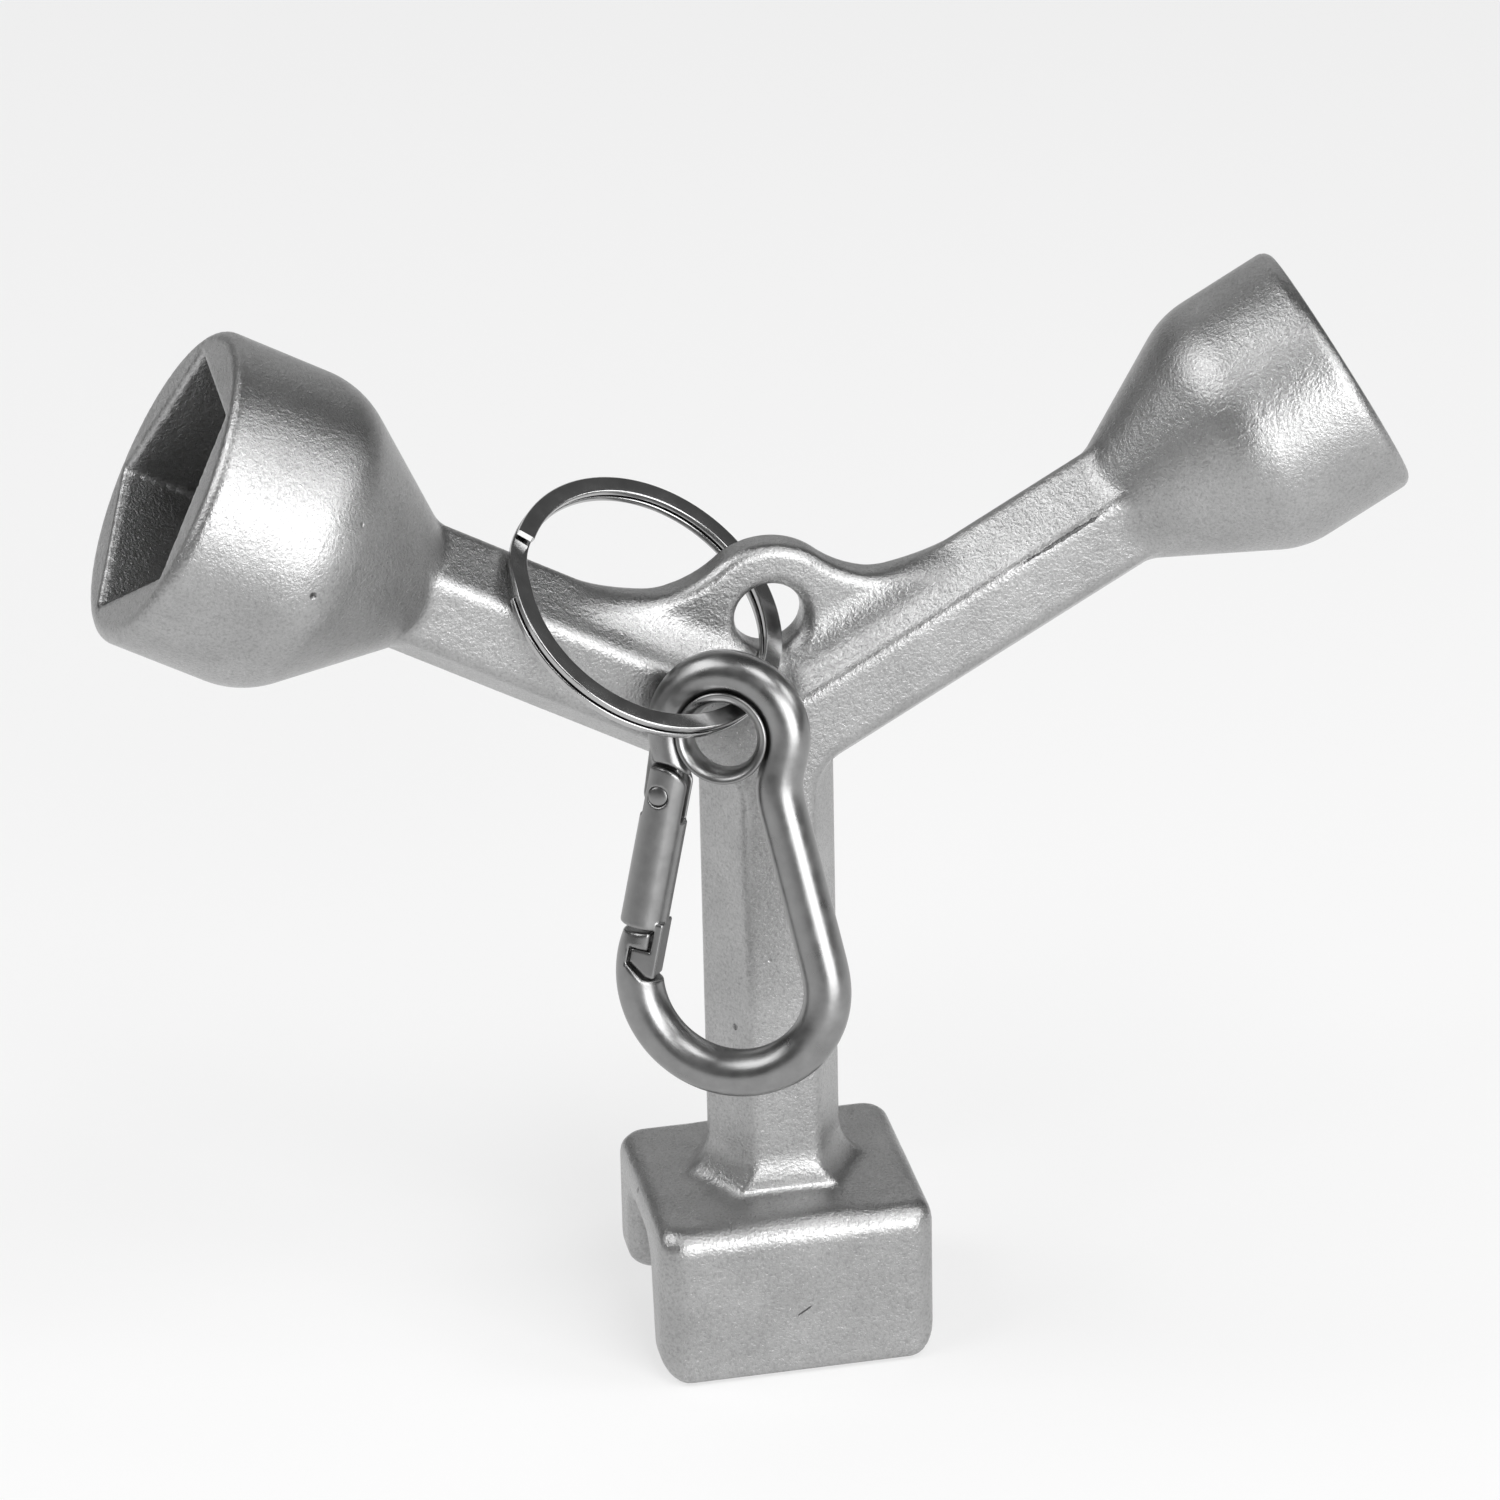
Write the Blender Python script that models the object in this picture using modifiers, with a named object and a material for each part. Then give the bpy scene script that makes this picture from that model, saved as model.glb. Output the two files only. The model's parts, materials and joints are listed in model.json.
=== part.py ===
"""Hydrant wrench: a cast three-way wrench that carries a split ring and a snap hook.

Metres, +Z up.  The origin is the centre of the ceiling of the U head's slot, the wrench's two
socket arms rise in the XZ plane and its front faces -Y.  Every piece is one object; a moving
piece has its origin, or its parent empty, on its joint's axis.
"""
import math

import bmesh
import bpy
from mathutils import Matrix, Vector

MM = 0.001

# Casting: three hexagonal arms that meet at the hub
ARM_CORNER_RADIUS = 9.0 * MM
ARM_RISE = math.radians(29.3)
STEM_LENGTH = 63.7 * MM
CROTCH_FILLET = 8.0 * MM

# U head at the foot of the stem
HEAD_WIDTH = 37.0 * MM
HEAD_DEPTH = 32.0 * MM
HEAD_CROWN = 5.9 * MM
SLOT_WIDTH = 11.8 * MM
SLOT_DEPTH = 16.4 * MM
REAR_LEG_RISE = 3.8 * MM
SLOT_SPLAY = math.radians(8.0)
HEAD_CORNER_RADIUS = 3.4 * MM
HEAD_EDGE_RADIUS = 2.6 * MM
FLARE_HEIGHT = 6.0 * MM
FLARE_SPREAD = 5.0 * MM

# Pentagon socket on the left arm
PENTAGON_REACH = 85.6 * MM
PENTAGON_BARREL_RADIUS = 20.5 * MM
PENTAGON_BARREL_LENGTH = 14.3 * MM
PENTAGON_SHOULDER_RADIUS = 12.0 * MM
PENTAGON_CONE_LENGTH = 19.4 * MM
PENTAGON_POINT_TO_FLAT = 31.9 * MM
PENTAGON_SOCKET_DEPTH = 18.0 * MM

# Square socket on the right arm
SQUARE_REACH = 85.9 * MM
SQUARE_BARREL_RADIUS = 17.3 * MM
SQUARE_BARREL_LENGTH = 12.6 * MM
SQUARE_SHOULDER_RADIUS = 13.0 * MM
SQUARE_CONE_LENGTH = 18.6 * MM
SQUARE_ACROSS_FLATS = 20.0 * MM
SQUARE_SOCKET_DEPTH = 18.0 * MM

RIM_ROUND = 1.6 * MM

# Web between the socket arms, with the lug for the ring
WEB_THICKNESS = 5.2 * MM
WEB_TOP = 20.0 * MM
LUG_HEIGHT = 16.2 * MM
LUG_OFFSET = 0.5 * MM
LUG_RADIUS = 9.6 * MM
LUG_FILLET = 15.0 * MM
LUG_HOLE_RADIUS = 4.5 * MM
LUG_HOLE_CHAMFER = 1.7 * MM

# Split ring: a flat strip wound in two turns that climbs a layer in one short jog
RING_RADIUS = 17.6 * MM
STRIP_WIDTH = 2.3 * MM
STRIP_THICKNESS = 0.9 * MM
STRIP_GAP = 0.44 * MM
RING_NORMAL = Vector((0.378, -0.501, 0.779)).normalized()
RING_TO_LUG = Vector((0.926, 0.191, -0.326))
RING_SEAT = Vector((0.2 * MM, 0.0, -1.75 * MM))
RING_JOG = math.radians(30.0)
RING_JOG_PLACE = math.radians(184.0)
RING_STEPS_PER_TURN = 48

# Snap hook: one bent wire round an eyelet, hung on the ring
WIRE_DIAMETER = 6.0 * MM
LEG_WIRE_SHARE = 0.77
EYE_WIRE_SHARE = 0.93
LEG_FOOT = Vector((1.2 * MM, 3.2 * MM))
HOOK_RING_ANGLE = math.radians(-62.0)
HOOK_TURN = math.radians(26.0)
HOOK_LEAN = math.radians(12.0)
EYELET_BORE_RADIUS = 4.4 * MM
EYELET_WALL = 0.6 * MM
EYELET_FLANGE_RADIUS = 5.75 * MM
EYELET_LENGTH = 5.6 * MM
EYELET_LIP = 0.1 * MM
EYELET_HANG = Vector((0.17 * MM, -2.07 * MM, -0.25 * MM))
EYE_START = math.radians(190.0)
EYE_STOP = math.radians(-24.0)
SPINE_START = math.radians(-37.0)
BEND_RADIUS = 12.5 * MM
SPINE_BEND_RADIUS = 10.8 * MM
SPINE_BEND_ANGLE = math.radians(-45.0)
BEND_ACROSS = 12.07 * MM
BEND_DROP = 5.3 * MM
NOSE_GAP = 0.5 * MM

# Gate, closed by a spring and a plunger inside it
RIVET_PLACE = Vector((-7.75 * MM, -8.1 * MM))
RIVET_RADIUS = 1.25 * MM
RIVET_LENGTH = 5.7 * MM
GATE_LEAN = math.radians(8.8)
GATE_DIAMETER = 6.0 * MM
GATE_AXIS_OFFSET = 0.65 * MM
GATE_REACH = 17.4 * MM
CHEEK_RADIUS = 3.75 * MM
CHEEK_SLOT_WIDTH = 2.8 * MM
TONGUE_RADIUS = 2.3 * MM
TONGUE_HEEL = 0.45 * MM
HEEL_ANGLE = math.radians(-50.0)
GATE_BORE_RADIUS = 1.55 * MM
GATE_BORE_DEPTH = 13.0 * MM
PLUNGER_LENGTH = 3.0 * MM
PLUNGER_CHAMFER = 0.4 * MM
SPRING_WIRE_RADIUS = 0.2 * MM
SPRING_TURNS = 5
LATCH_THICKNESS = 4.6 * MM
LATCH_DROP = 6.2 * MM
BARB_HEIGHT = 3.4 * MM
BARB_WIDTH = 3.5 * MM
BARB_TIP = 1.8 * MM
LATCH_STEM = 1.1 * MM

CLEARANCE = 0.35 * MM
ROUND_STEPS = 40
WIRE_RESOLUTION = 4
OVERCUT = 4.0 * MM

CROWN_TOP = HEAD_CROWN
HUB = Vector((0.0, 0.0, CROWN_TOP + STEM_LENGTH))
WIRE_RADIUS = WIRE_DIAMETER / 2.0
EYE_INNER_RADIUS = EYELET_BORE_RADIUS + EYELET_WALL + CLEARANCE
EYE_WIRE_RADIUS = WIRE_RADIUS * EYE_WIRE_SHARE
HEEL_RADIUS = TONGUE_RADIUS / 2.0
HEEL_REACH = TONGUE_RADIUS + TONGUE_HEEL - HEEL_RADIUS
GATE_FOOT = RIVET_PLACE + Matrix.Rotation(-GATE_LEAN, 2) @ Vector((GATE_AXIS_OFFSET, -GATE_REACH))
NOSE_TOP = GATE_FOOT.y - NOSE_GAP
BEND_CENTRE = Vector((GATE_FOOT.x + BEND_ACROSS, NOSE_TOP - BEND_DROP))

for old in list(bpy.data.objects):
    bpy.data.objects.remove(old)

PARTS = bpy.data.collections.new("hydrant_wrench")
CUTTERS = bpy.data.collections.new("cutters")
bpy.context.scene.collection.children.link(PARTS)
bpy.context.scene.collection.children.link(CUTTERS)


def steel(name, colour, roughness):
    """A metal Principled material."""
    material = bpy.data.materials.new(name)
    material.use_nodes = True
    shader = material.node_tree.nodes["Principled BSDF"]
    shader.inputs["Base Color"].default_value = (*colour, 1.0)
    shader.inputs["Metallic"].default_value = 1.0
    shader.inputs["Roughness"].default_value = roughness
    return material


def add_object(name, data, collection=PARTS, parent=None, matrix=None):
    """Links one object, placed under its parent."""
    piece = bpy.data.objects.new(name, data)
    collection.objects.link(piece)
    piece.parent = parent
    piece.matrix_local = matrix if matrix is not None else Matrix.Identity(4)
    if collection is CUTTERS:
        piece.hide_render = True
        piece.display_type = "WIRE"
    return piece


def add_empty(name, matrix, parent=None):
    """An empty that marks a joint or a piece's own frame."""
    return add_object(name, None, PARTS, parent, matrix)


def frame_matrix(x_axis, z_axis, place):
    """A frame from two square axes and its place."""
    z_axis = z_axis.normalized()
    x_axis = (x_axis - x_axis.dot(z_axis) * z_axis).normalized()
    turn = Matrix((x_axis, z_axis.cross(x_axis), z_axis)).transposed()
    return Matrix.Translation(place) @ turn.to_4x4()


def turned_mesh(name, profile, steps=ROUND_STEPS):
    """A solid turned about Z; the profile of (radius, height) runs down its outer side."""
    mesh = bpy.data.meshes.new(name)
    points = [(radius, 0.0, height) for radius, height in profile]
    mesh.from_pydata(points, [(i, i + 1) for i in range(len(points) - 1)], [])
    maker = bpy.data.objects.new(name + "_maker", mesh)
    CUTTERS.objects.link(maker)
    screw = maker.modifiers.new("turn", "SCREW")
    screw.axis = "Z"
    screw.steps = steps
    screw.render_steps = steps
    screw.use_merge_vertices = True
    screw.merge_threshold = 0.00001
    return baked(maker, name)


def baked(maker, name):
    """The evaluated mesh of a maker object, with its doubles merged."""
    graph = bpy.context.evaluated_depsgraph_get()
    mesh = bpy.data.meshes.new_from_object(maker.evaluated_get(graph))
    mesh.name = name
    source = maker.data
    bpy.data.objects.remove(maker)
    if isinstance(source, bpy.types.Curve):
        bpy.data.curves.remove(source)
    work = bmesh.new()
    work.from_mesh(mesh)
    bmesh.ops.remove_doubles(work, verts=work.verts, dist=0.000001)
    bmesh.ops.recalc_face_normals(work, faces=work.faces)
    work.to_mesh(mesh)
    work.free()
    return mesh


def outline_curve(name, outline, thickness):
    """A filled flat outline in XY, as a curve centred on Z = 0."""
    curve = bpy.data.curves.new(name, "CURVE")
    curve.dimensions = "2D"
    curve.fill_mode = "BOTH"
    curve.extrude = thickness / 2.0
    line = curve.splines.new("POLY")
    line.points.add(len(outline) - 1)
    for point, place in zip(line.points, outline):
        point.co = (place[0], place[1], 0.0, 1.0)
    line.use_cyclic_u = True
    return curve


def plate_mesh(name, outline, thickness):
    """A flat plate of the given outline."""
    maker = bpy.data.objects.new(name + "_maker", outline_curve(name, outline, thickness))
    CUTTERS.objects.link(maker)
    return baked(maker, name)


def wire_mesh(name, path, radius, shares=None, resolution=WIRE_RESOLUTION):
    """A round wire along a path, with filled ends."""
    curve = bpy.data.curves.new(name, "CURVE")
    curve.dimensions = "3D"
    curve.bevel_depth = radius
    curve.bevel_resolution = resolution
    curve.use_fill_caps = True
    curve.twist_mode = "MINIMUM"
    line = curve.splines.new("POLY")
    line.points.add(len(path) - 1)
    for number, (point, place) in enumerate(zip(line.points, path)):
        point.co = (*place, 1.0)
        point.radius = shares[number] if shares else 1.0
    maker = bpy.data.objects.new(name + "_maker", curve)
    CUTTERS.objects.link(maker)
    return baked(maker, name)


def arc(centre, radius, start, stop, count):
    """Points on an arc in XY, both ends included."""
    step = (stop - start) / (count - 1)
    angles = [start + step * number for number in range(count)]
    return [(centre[0] + radius * math.cos(a), centre[1] + radius * math.sin(a)) for a in angles]


def combine(target, operand, operation):
    """Adds a Boolean modifier to a piece."""
    boolean = target.modifiers.new(operand.name, "BOOLEAN")
    boolean.operation = operation
    boolean.solver = "EXACT"
    boolean.object = operand


def finish(piece, material, smooth_angle=math.radians(30.0)):
    """Gives a piece its material and shades its round faces smooth."""
    piece.data.materials.clear()
    piece.data.materials.append(material)
    piece.data.shade_smooth()
    piece.data.set_sharp_from_angle(angle=smooth_angle)


def box_mesh(name, size):
    """A box centred on its origin."""
    mesh = bpy.data.meshes.new(name)
    work = bmesh.new()
    bmesh.ops.create_cube(work, size=1.0, matrix=Matrix.Diagonal((*size, 1.0)))
    work.to_mesh(mesh)
    work.free()
    return mesh


def polygon_prism(name, sides, corner_radius, length):
    """A prism along Z with one corner on -X, as a cutter."""
    corners = arc((0.0, 0.0), corner_radius, math.pi, 3.0 * math.pi, sides + 1)[:-1]
    return plate_mesh(name, corners, length)


def rounded_head_mesh():
    """The U head's outer block, its upright corners and its edges rounded."""
    size = (HEAD_WIDTH, HEAD_DEPTH, HEAD_CROWN + SLOT_DEPTH)
    mesh = box_mesh("head_block", size)
    work = bmesh.new()
    work.from_mesh(mesh)
    upright = [e for e in work.edges if abs(e.verts[0].co.z - e.verts[1].co.z) > size[2] / 2.0]
    bmesh.ops.bevel(work, geom=upright, offset=HEAD_CORNER_RADIUS, segments=4, profile=0.5, affect="EDGES")
    flat = [e for e in work.edges if abs(e.verts[0].co.z - e.verts[1].co.z) < size[2] / 4.0]
    rim = [e for e in flat if abs(e.calc_face_angle(0.0)) > 1.0]
    bmesh.ops.bevel(work, geom=rim, offset=HEAD_EDGE_RADIUS, segments=2, profile=0.5, affect="EDGES")
    work.to_mesh(mesh)
    work.free()
    return mesh


def star_outline(reaches):
    """Front face of the three arms: a star of straight bars with filleted crotches."""
    half = ARM_CORNER_RADIUS / 2.0
    headings = (ARM_RISE, math.pi - ARM_RISE, 1.5 * math.pi)
    outline = []
    for number, heading in enumerate(headings):
        along = Vector((math.cos(heading), math.sin(heading)))
        left = Vector((-along.y, along.x))
        reach = reaches[number]
        outline += [tuple(reach * along - half * left), tuple(reach * along + half * left)]
        following = headings[(number + 1) % 3]
        if following < heading:
            following += 2.0 * math.pi
        middle = (heading + following) / 2.0
        distance = (half + CROTCH_FILLET) / math.sin((following - heading) / 2.0)
        centre = (distance * math.cos(middle), distance * math.sin(middle))
        outline += arc(centre, CROTCH_FILLET, heading - math.pi / 2.0, following - 1.5 * math.pi, 5)
    return outline


def star_mesh(reaches):
    """The three hexagonal bars in one: a filled outline whose bevel makes the slanted faces."""
    curve = outline_curve("arms", star_outline(reaches), 0.0)
    curve.bevel_depth = ARM_CORNER_RADIUS / 2.0
    curve.bevel_resolution = 0
    maker = bpy.data.objects.new("arms_maker", curve)
    CUTTERS.objects.link(maker)
    mesh = baked(maker, "arms")
    mesh.transform(Matrix.Diagonal((1.0, 1.0, math.sqrt(3.0), 1.0)))
    return mesh


def flare_profile():
    """Hexagon corner radius of the stem's foot, which flares out to meet the head."""
    steps = 5
    inset = FLARE_SPREAD / 10.0
    profile = [(0.0, FLARE_HEIGHT), (ARM_CORNER_RADIUS - inset, FLARE_HEIGHT)]
    for number in range(1, steps + 1):
        turn = math.pi / 2.0 * number / steps
        spread = (FLARE_SPREAD + inset) * (1.0 - math.cos(turn)) - inset
        profile.append((ARM_CORNER_RADIUS + spread, FLARE_HEIGHT * (1.0 - math.sin(turn))))
    sunk = -HEAD_CROWN / 2.0
    profile += [(ARM_CORNER_RADIUS + FLARE_SPREAD, sunk), (0.0, sunk)]
    return profile


def socket_profile(reach, barrel_radius, barrel_length, shoulder_radius, cone_length):
    """Outer side of a socket along its arm: barrel, round shoulder and a cone that dies into the arm."""
    profile = [(0.0, reach)]
    profile += arc((barrel_radius - RIM_ROUND, reach - RIM_ROUND), RIM_ROUND, math.pi / 2.0, 0.0, 4)
    shoulder_height = reach - barrel_length
    foot = Vector((ARM_CORNER_RADIUS, shoulder_height - cone_length))
    centre = Vector((barrel_radius - shoulder_radius, shoulder_height))
    reach_out = centre - foot
    slope = math.atan2(reach_out.x, reach_out.y) + math.asin(shoulder_radius / reach_out.length)
    profile += arc(centre, shoulder_radius, 0.0, -slope, 7)
    buried_radius = ARM_CORNER_RADIUS * 0.65
    buried_height = foot.y - (foot.x - buried_radius) / math.tan(slope)
    profile += [(buried_radius, buried_height), (0.0, buried_height)]
    return profile


def web_outline():
    """Web and lug seen from the front: a flat shelf that swells into a round lug."""
    lug = Vector((LUG_OFFSET, LUG_HEIGHT))
    rise = WEB_TOP + LUG_FILLET - lug.y
    run = math.sqrt((LUG_RADIUS + LUG_FILLET) ** 2 - rise ** 2)
    lean = math.atan2(rise, run)
    arm_edge = ARM_CORNER_RADIUS - WEB_THICKNESS / 2.0 / math.sqrt(3.0)
    shelf = (WEB_TOP * math.cos(ARM_RISE) - arm_edge) / math.sin(ARM_RISE) + CLEARANCE
    right = Vector((lug.x + run, WEB_TOP + LUG_FILLET))
    left = Vector((lug.x - run, WEB_TOP + LUG_FILLET))
    outline = [(0.0, 0.0), (shelf, WEB_TOP - OVERCUT), (shelf, WEB_TOP)]
    outline += arc(right, LUG_FILLET, -math.pi / 2.0, -math.pi + lean, 7)
    outline += arc(lug, LUG_RADIUS, lean, math.pi - lean, 15)[1:-1]
    outline += arc(left, LUG_FILLET, -lean, -math.pi / 2.0, 7)
    outline += [(-shelf, WEB_TOP), (-shelf, WEB_TOP - OVERCUT)]
    return outline


def lug_hole_profile():
    """The hole for the ring, its edges eased on both faces."""
    half = WEB_THICKNESS / 2.0
    wide = LUG_HOLE_RADIUS + LUG_HOLE_CHAMFER
    land = half - LUG_HOLE_CHAMFER
    over = LUG_HOLE_CHAMFER
    return [
        (0.0, half + over), (wide + over, half + over), (LUG_HOLE_RADIUS, land),
        (LUG_HOLE_RADIUS, -land), (wide + over, -half - over), (0.0, -half - over),
    ]


def slot_outline():
    """End view of the U head's slot, which widens towards its mouth."""
    drop = SLOT_DEPTH + OVERCUT
    ceiling = SLOT_WIDTH / 2.0
    mouth = ceiling + drop * math.tan(SLOT_SPLAY)
    return [(-ceiling, 0.0), (-mouth, -drop), (mouth, -drop), (ceiling, 0.0)]


def rear_foot_outline():
    """End view of what is cut off the U head's rear leg, the shorter of the two."""
    top = REAR_LEG_RISE - SLOT_DEPTH
    bottom = -SLOT_DEPTH - OVERCUT
    return [(0.0, top), (0.0, bottom), (HEAD_DEPTH, bottom), (HEAD_DEPTH, top)]


def arm_frame(side):
    """Frame of a socket arm: Z out along the arm, X up across it; side is -1 left or 1 right."""
    along = Vector((side * math.cos(ARM_RISE), 0.0, math.sin(ARM_RISE)))
    across = Vector((-side * math.sin(ARM_RISE), 0.0, math.cos(ARM_RISE)))
    return frame_matrix(across, along, HUB)


def make_wrench(material):
    """The casting: stem, U head, two socket arms and the web, all one piece."""
    reaches = (
        SQUARE_REACH - SQUARE_SOCKET_DEPTH - ARM_CORNER_RADIUS,
        PENTAGON_REACH - PENTAGON_SOCKET_DEPTH - ARM_CORNER_RADIUS,
        STEM_LENGTH,
    )
    upright = Matrix.Translation(HUB) @ Matrix.Rotation(math.pi / 2.0, 4, "X")
    body = add_object("wrench_body", star_mesh(reaches), PARTS, None, upright)

    def join(name, mesh, matrix, operation="UNION"):
        operand = add_object(name, mesh, CUTTERS, None, matrix)
        combine(body, operand, operation)

    head_middle = (CROWN_TOP - SLOT_DEPTH) / 2.0
    join("head_block", rounded_head_mesh(), Matrix.Translation((0.0, 0.0, head_middle)))
    join("flare", turned_mesh("flare", flare_profile(), 6), Matrix.Translation((0.0, 0.0, CROWN_TOP)))
    sockets = (
        ("pentagon", -1, PENTAGON_REACH, PENTAGON_BARREL_RADIUS, PENTAGON_BARREL_LENGTH,
         PENTAGON_SHOULDER_RADIUS, PENTAGON_CONE_LENGTH),
        ("square", 1, SQUARE_REACH, SQUARE_BARREL_RADIUS, SQUARE_BARREL_LENGTH,
         SQUARE_SHOULDER_RADIUS, SQUARE_CONE_LENGTH),
    )
    for name, side, reach, radius, barrel, shoulder, cone in sockets:
        profile = socket_profile(reach, radius, barrel, shoulder, cone)
        join(name + "_socket", turned_mesh(name + "_socket", profile), arm_frame(side))
    join("web", plate_mesh("web", web_outline(), WEB_THICKNESS), upright)

    lug_place = upright @ Matrix.Translation((LUG_OFFSET, LUG_HEIGHT, 0.0))
    join("lug_hole", turned_mesh("lug_hole", lug_hole_profile(), 32), lug_place, "DIFFERENCE")
    pentagon_corner = PENTAGON_POINT_TO_FLAT / (1.0 + math.cos(math.pi / 5.0))
    openings = (
        ("pentagon_opening", -1, 5, pentagon_corner, PENTAGON_SOCKET_DEPTH, PENTAGON_REACH, 0.0),
        ("square_opening", 1, 4, SQUARE_ACROSS_FLATS / math.sqrt(2.0), SQUARE_SOCKET_DEPTH, SQUARE_REACH,
         math.pi / 4.0),
    )
    for name, side, sides, corner, depth, reach, turn in openings:
        length = depth + OVERCUT
        middle = reach - depth + length / 2.0
        place = arm_frame(side) @ Matrix.Translation((0.0, 0.0, middle)) @ Matrix.Rotation(turn, 4, "Z")
        join(name, polygon_prism(name, sides, corner, length), place, "DIFFERENCE")
    across_head = frame_matrix(Vector((0.0, 1.0, 0.0)), Vector((1.0, 0.0, 0.0)), Vector())
    for name, outline in (("slot", slot_outline()), ("rear_foot", rear_foot_outline())):
        join(name, plate_mesh(name, outline, HEAD_WIDTH + OVERCUT), across_head, "DIFFERENCE")
    finish(body, material)
    return body


def ring_height(angle):
    """Height of the strip's middle above the ring's middle plane, for an angle wound from its start."""
    climb = STRIP_THICKNESS + STRIP_GAP
    full = 2.0 * math.pi
    if angle <= full - RING_JOG:
        return -climb / 2.0
    if angle >= full:
        return climb / 2.0
    share = (angle - full + RING_JOG) / RING_JOG
    return climb * (share * share * (3.0 - 2.0 * share) - 0.5)


def ring_stations():
    """Angle and height of the stations along the strip's two turns."""
    span = 4.0 * math.pi - RING_JOG
    count = round(RING_STEPS_PER_TURN * span / (2.0 * math.pi))
    angles = [span * number / count for number in range(count + 1)]
    return [(RING_JOG_PLACE + angle, ring_height(angle)) for angle in angles]


def least_strip_gap(stations):
    """Smallest distance between the strip's corners on one turn and on the other."""
    rings = []
    for angle, height in stations:
        corners = []
        for radius in (RING_RADIUS - STRIP_WIDTH / 2.0, RING_RADIUS + STRIP_WIDTH / 2.0):
            for side in (-0.5, 0.5):
                place = (radius * math.cos(angle), radius * math.sin(angle), height + side * STRIP_THICKNESS)
                corners.append(Vector(place))
        rings.append(corners)
    least = 1.0
    apart = RING_STEPS_PER_TURN // 2
    for first in range(len(rings)):
        for second in range(first + apart, len(rings)):
            gaps = [(a - b).length for a in rings[first] for b in rings[second]]
            least = min(least, min(gaps))
    return least


def make_split_ring(parent, to_centre, material):
    """Two turns of flat strip, wound as one unbroken piece."""
    stations = ring_stations()
    print("split ring, least gap to itself (mm):", round(least_strip_gap(stations) / MM, 3))
    section = bpy.data.curves.new("strip_section", "CURVE")
    section.dimensions = "2D"
    line = section.splines.new("POLY")
    line.points.add(3)
    half_width = STRIP_WIDTH / 2.0
    half_height = STRIP_THICKNESS / 2.0
    corners = ((-1, -1), (1, -1), (1, 1), (-1, 1))
    for point, (x, y) in zip(line.points, corners):
        point.co = (x * half_width, y * half_height, 0.0, 1.0)
    line.use_cyclic_u = True
    section_object = bpy.data.objects.new("strip_section", section)
    CUTTERS.objects.link(section_object)

    path = bpy.data.curves.new("strip_path", "CURVE")
    path.dimensions = "3D"
    path.twist_mode = "Z_UP"
    path.bevel_mode = "OBJECT"
    path.bevel_object = section_object
    path.use_fill_caps = True
    track = path.splines.new("POLY")
    track.points.add(len(stations) - 1)
    for point, (angle, height) in zip(track.points, stations):
        point.co = (RING_RADIUS * math.cos(angle), RING_RADIUS * math.sin(angle), height, 1.0)
    maker = bpy.data.objects.new("strip_maker", path)
    CUTTERS.objects.link(maker)
    mesh = baked(maker, "split_ring")
    bpy.data.objects.remove(section_object)
    ring = add_object("split_ring", mesh, PARTS, parent, to_centre)
    finish(ring, material)
    return ring


def eyelet_profile():
    """A flared sleeve: trumpet bore inside, a groove for the wire outside."""
    half = EYELET_LENGTH / 2.0
    flare = EYELET_FLANGE_RADIUS - EYELET_BORE_RADIUS
    sweep = (half ** 2 + flare ** 2) / (2.0 * flare)
    bore = []
    for share in (-1.0, -0.75, -0.45, 0.0, 0.45, 0.75, 1.0):
        height = half * share
        bore.append((EYELET_BORE_RADIUS + sweep - math.sqrt(sweep ** 2 - height ** 2), height))
    wire_middle = EYE_INNER_RADIUS + EYE_WIRE_RADIUS
    groove_radius = EYE_WIRE_RADIUS + CLEARANCE
    groove_reach = math.sqrt(groove_radius ** 2 - (wire_middle - EYELET_FLANGE_RADIUS) ** 2)
    groove = []
    for share in (1.0, 0.75, 0.4, 0.0, -0.4, -0.75, -1.0):
        height = groove_reach * share
        groove.append((wire_middle - math.sqrt(groove_radius ** 2 - height ** 2), height))
    lip = EYELET_FLANGE_RADIUS + EYELET_LIP
    groove_edge = min(half, groove_reach + 2.0 * EYELET_LIP)
    return [(lip, half), (lip, groove_edge)] + groove + [(lip, -groove_edge), (lip, -half)] + bore


def make_eyelet(parent, material):
    """The flared eyelet that lines the hook's eye."""
    profile = eyelet_profile()
    mesh = turned_mesh("eyelet", profile + [profile[0]], 32)
    eyelet = add_object("eyelet", mesh, PARTS, parent)
    finish(eyelet, material)
    return eyelet


def tangent_point(start, centre, radius):
    """Where a line from start touches a circle on its right-hand side."""
    reach = start - centre
    lean = math.atan2(reach.y, reach.x)
    turn = math.acos(radius / reach.length)
    return Vector((centre.x + radius * math.cos(lean - turn), centre.y + radius * math.sin(lean - turn)))


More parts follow.
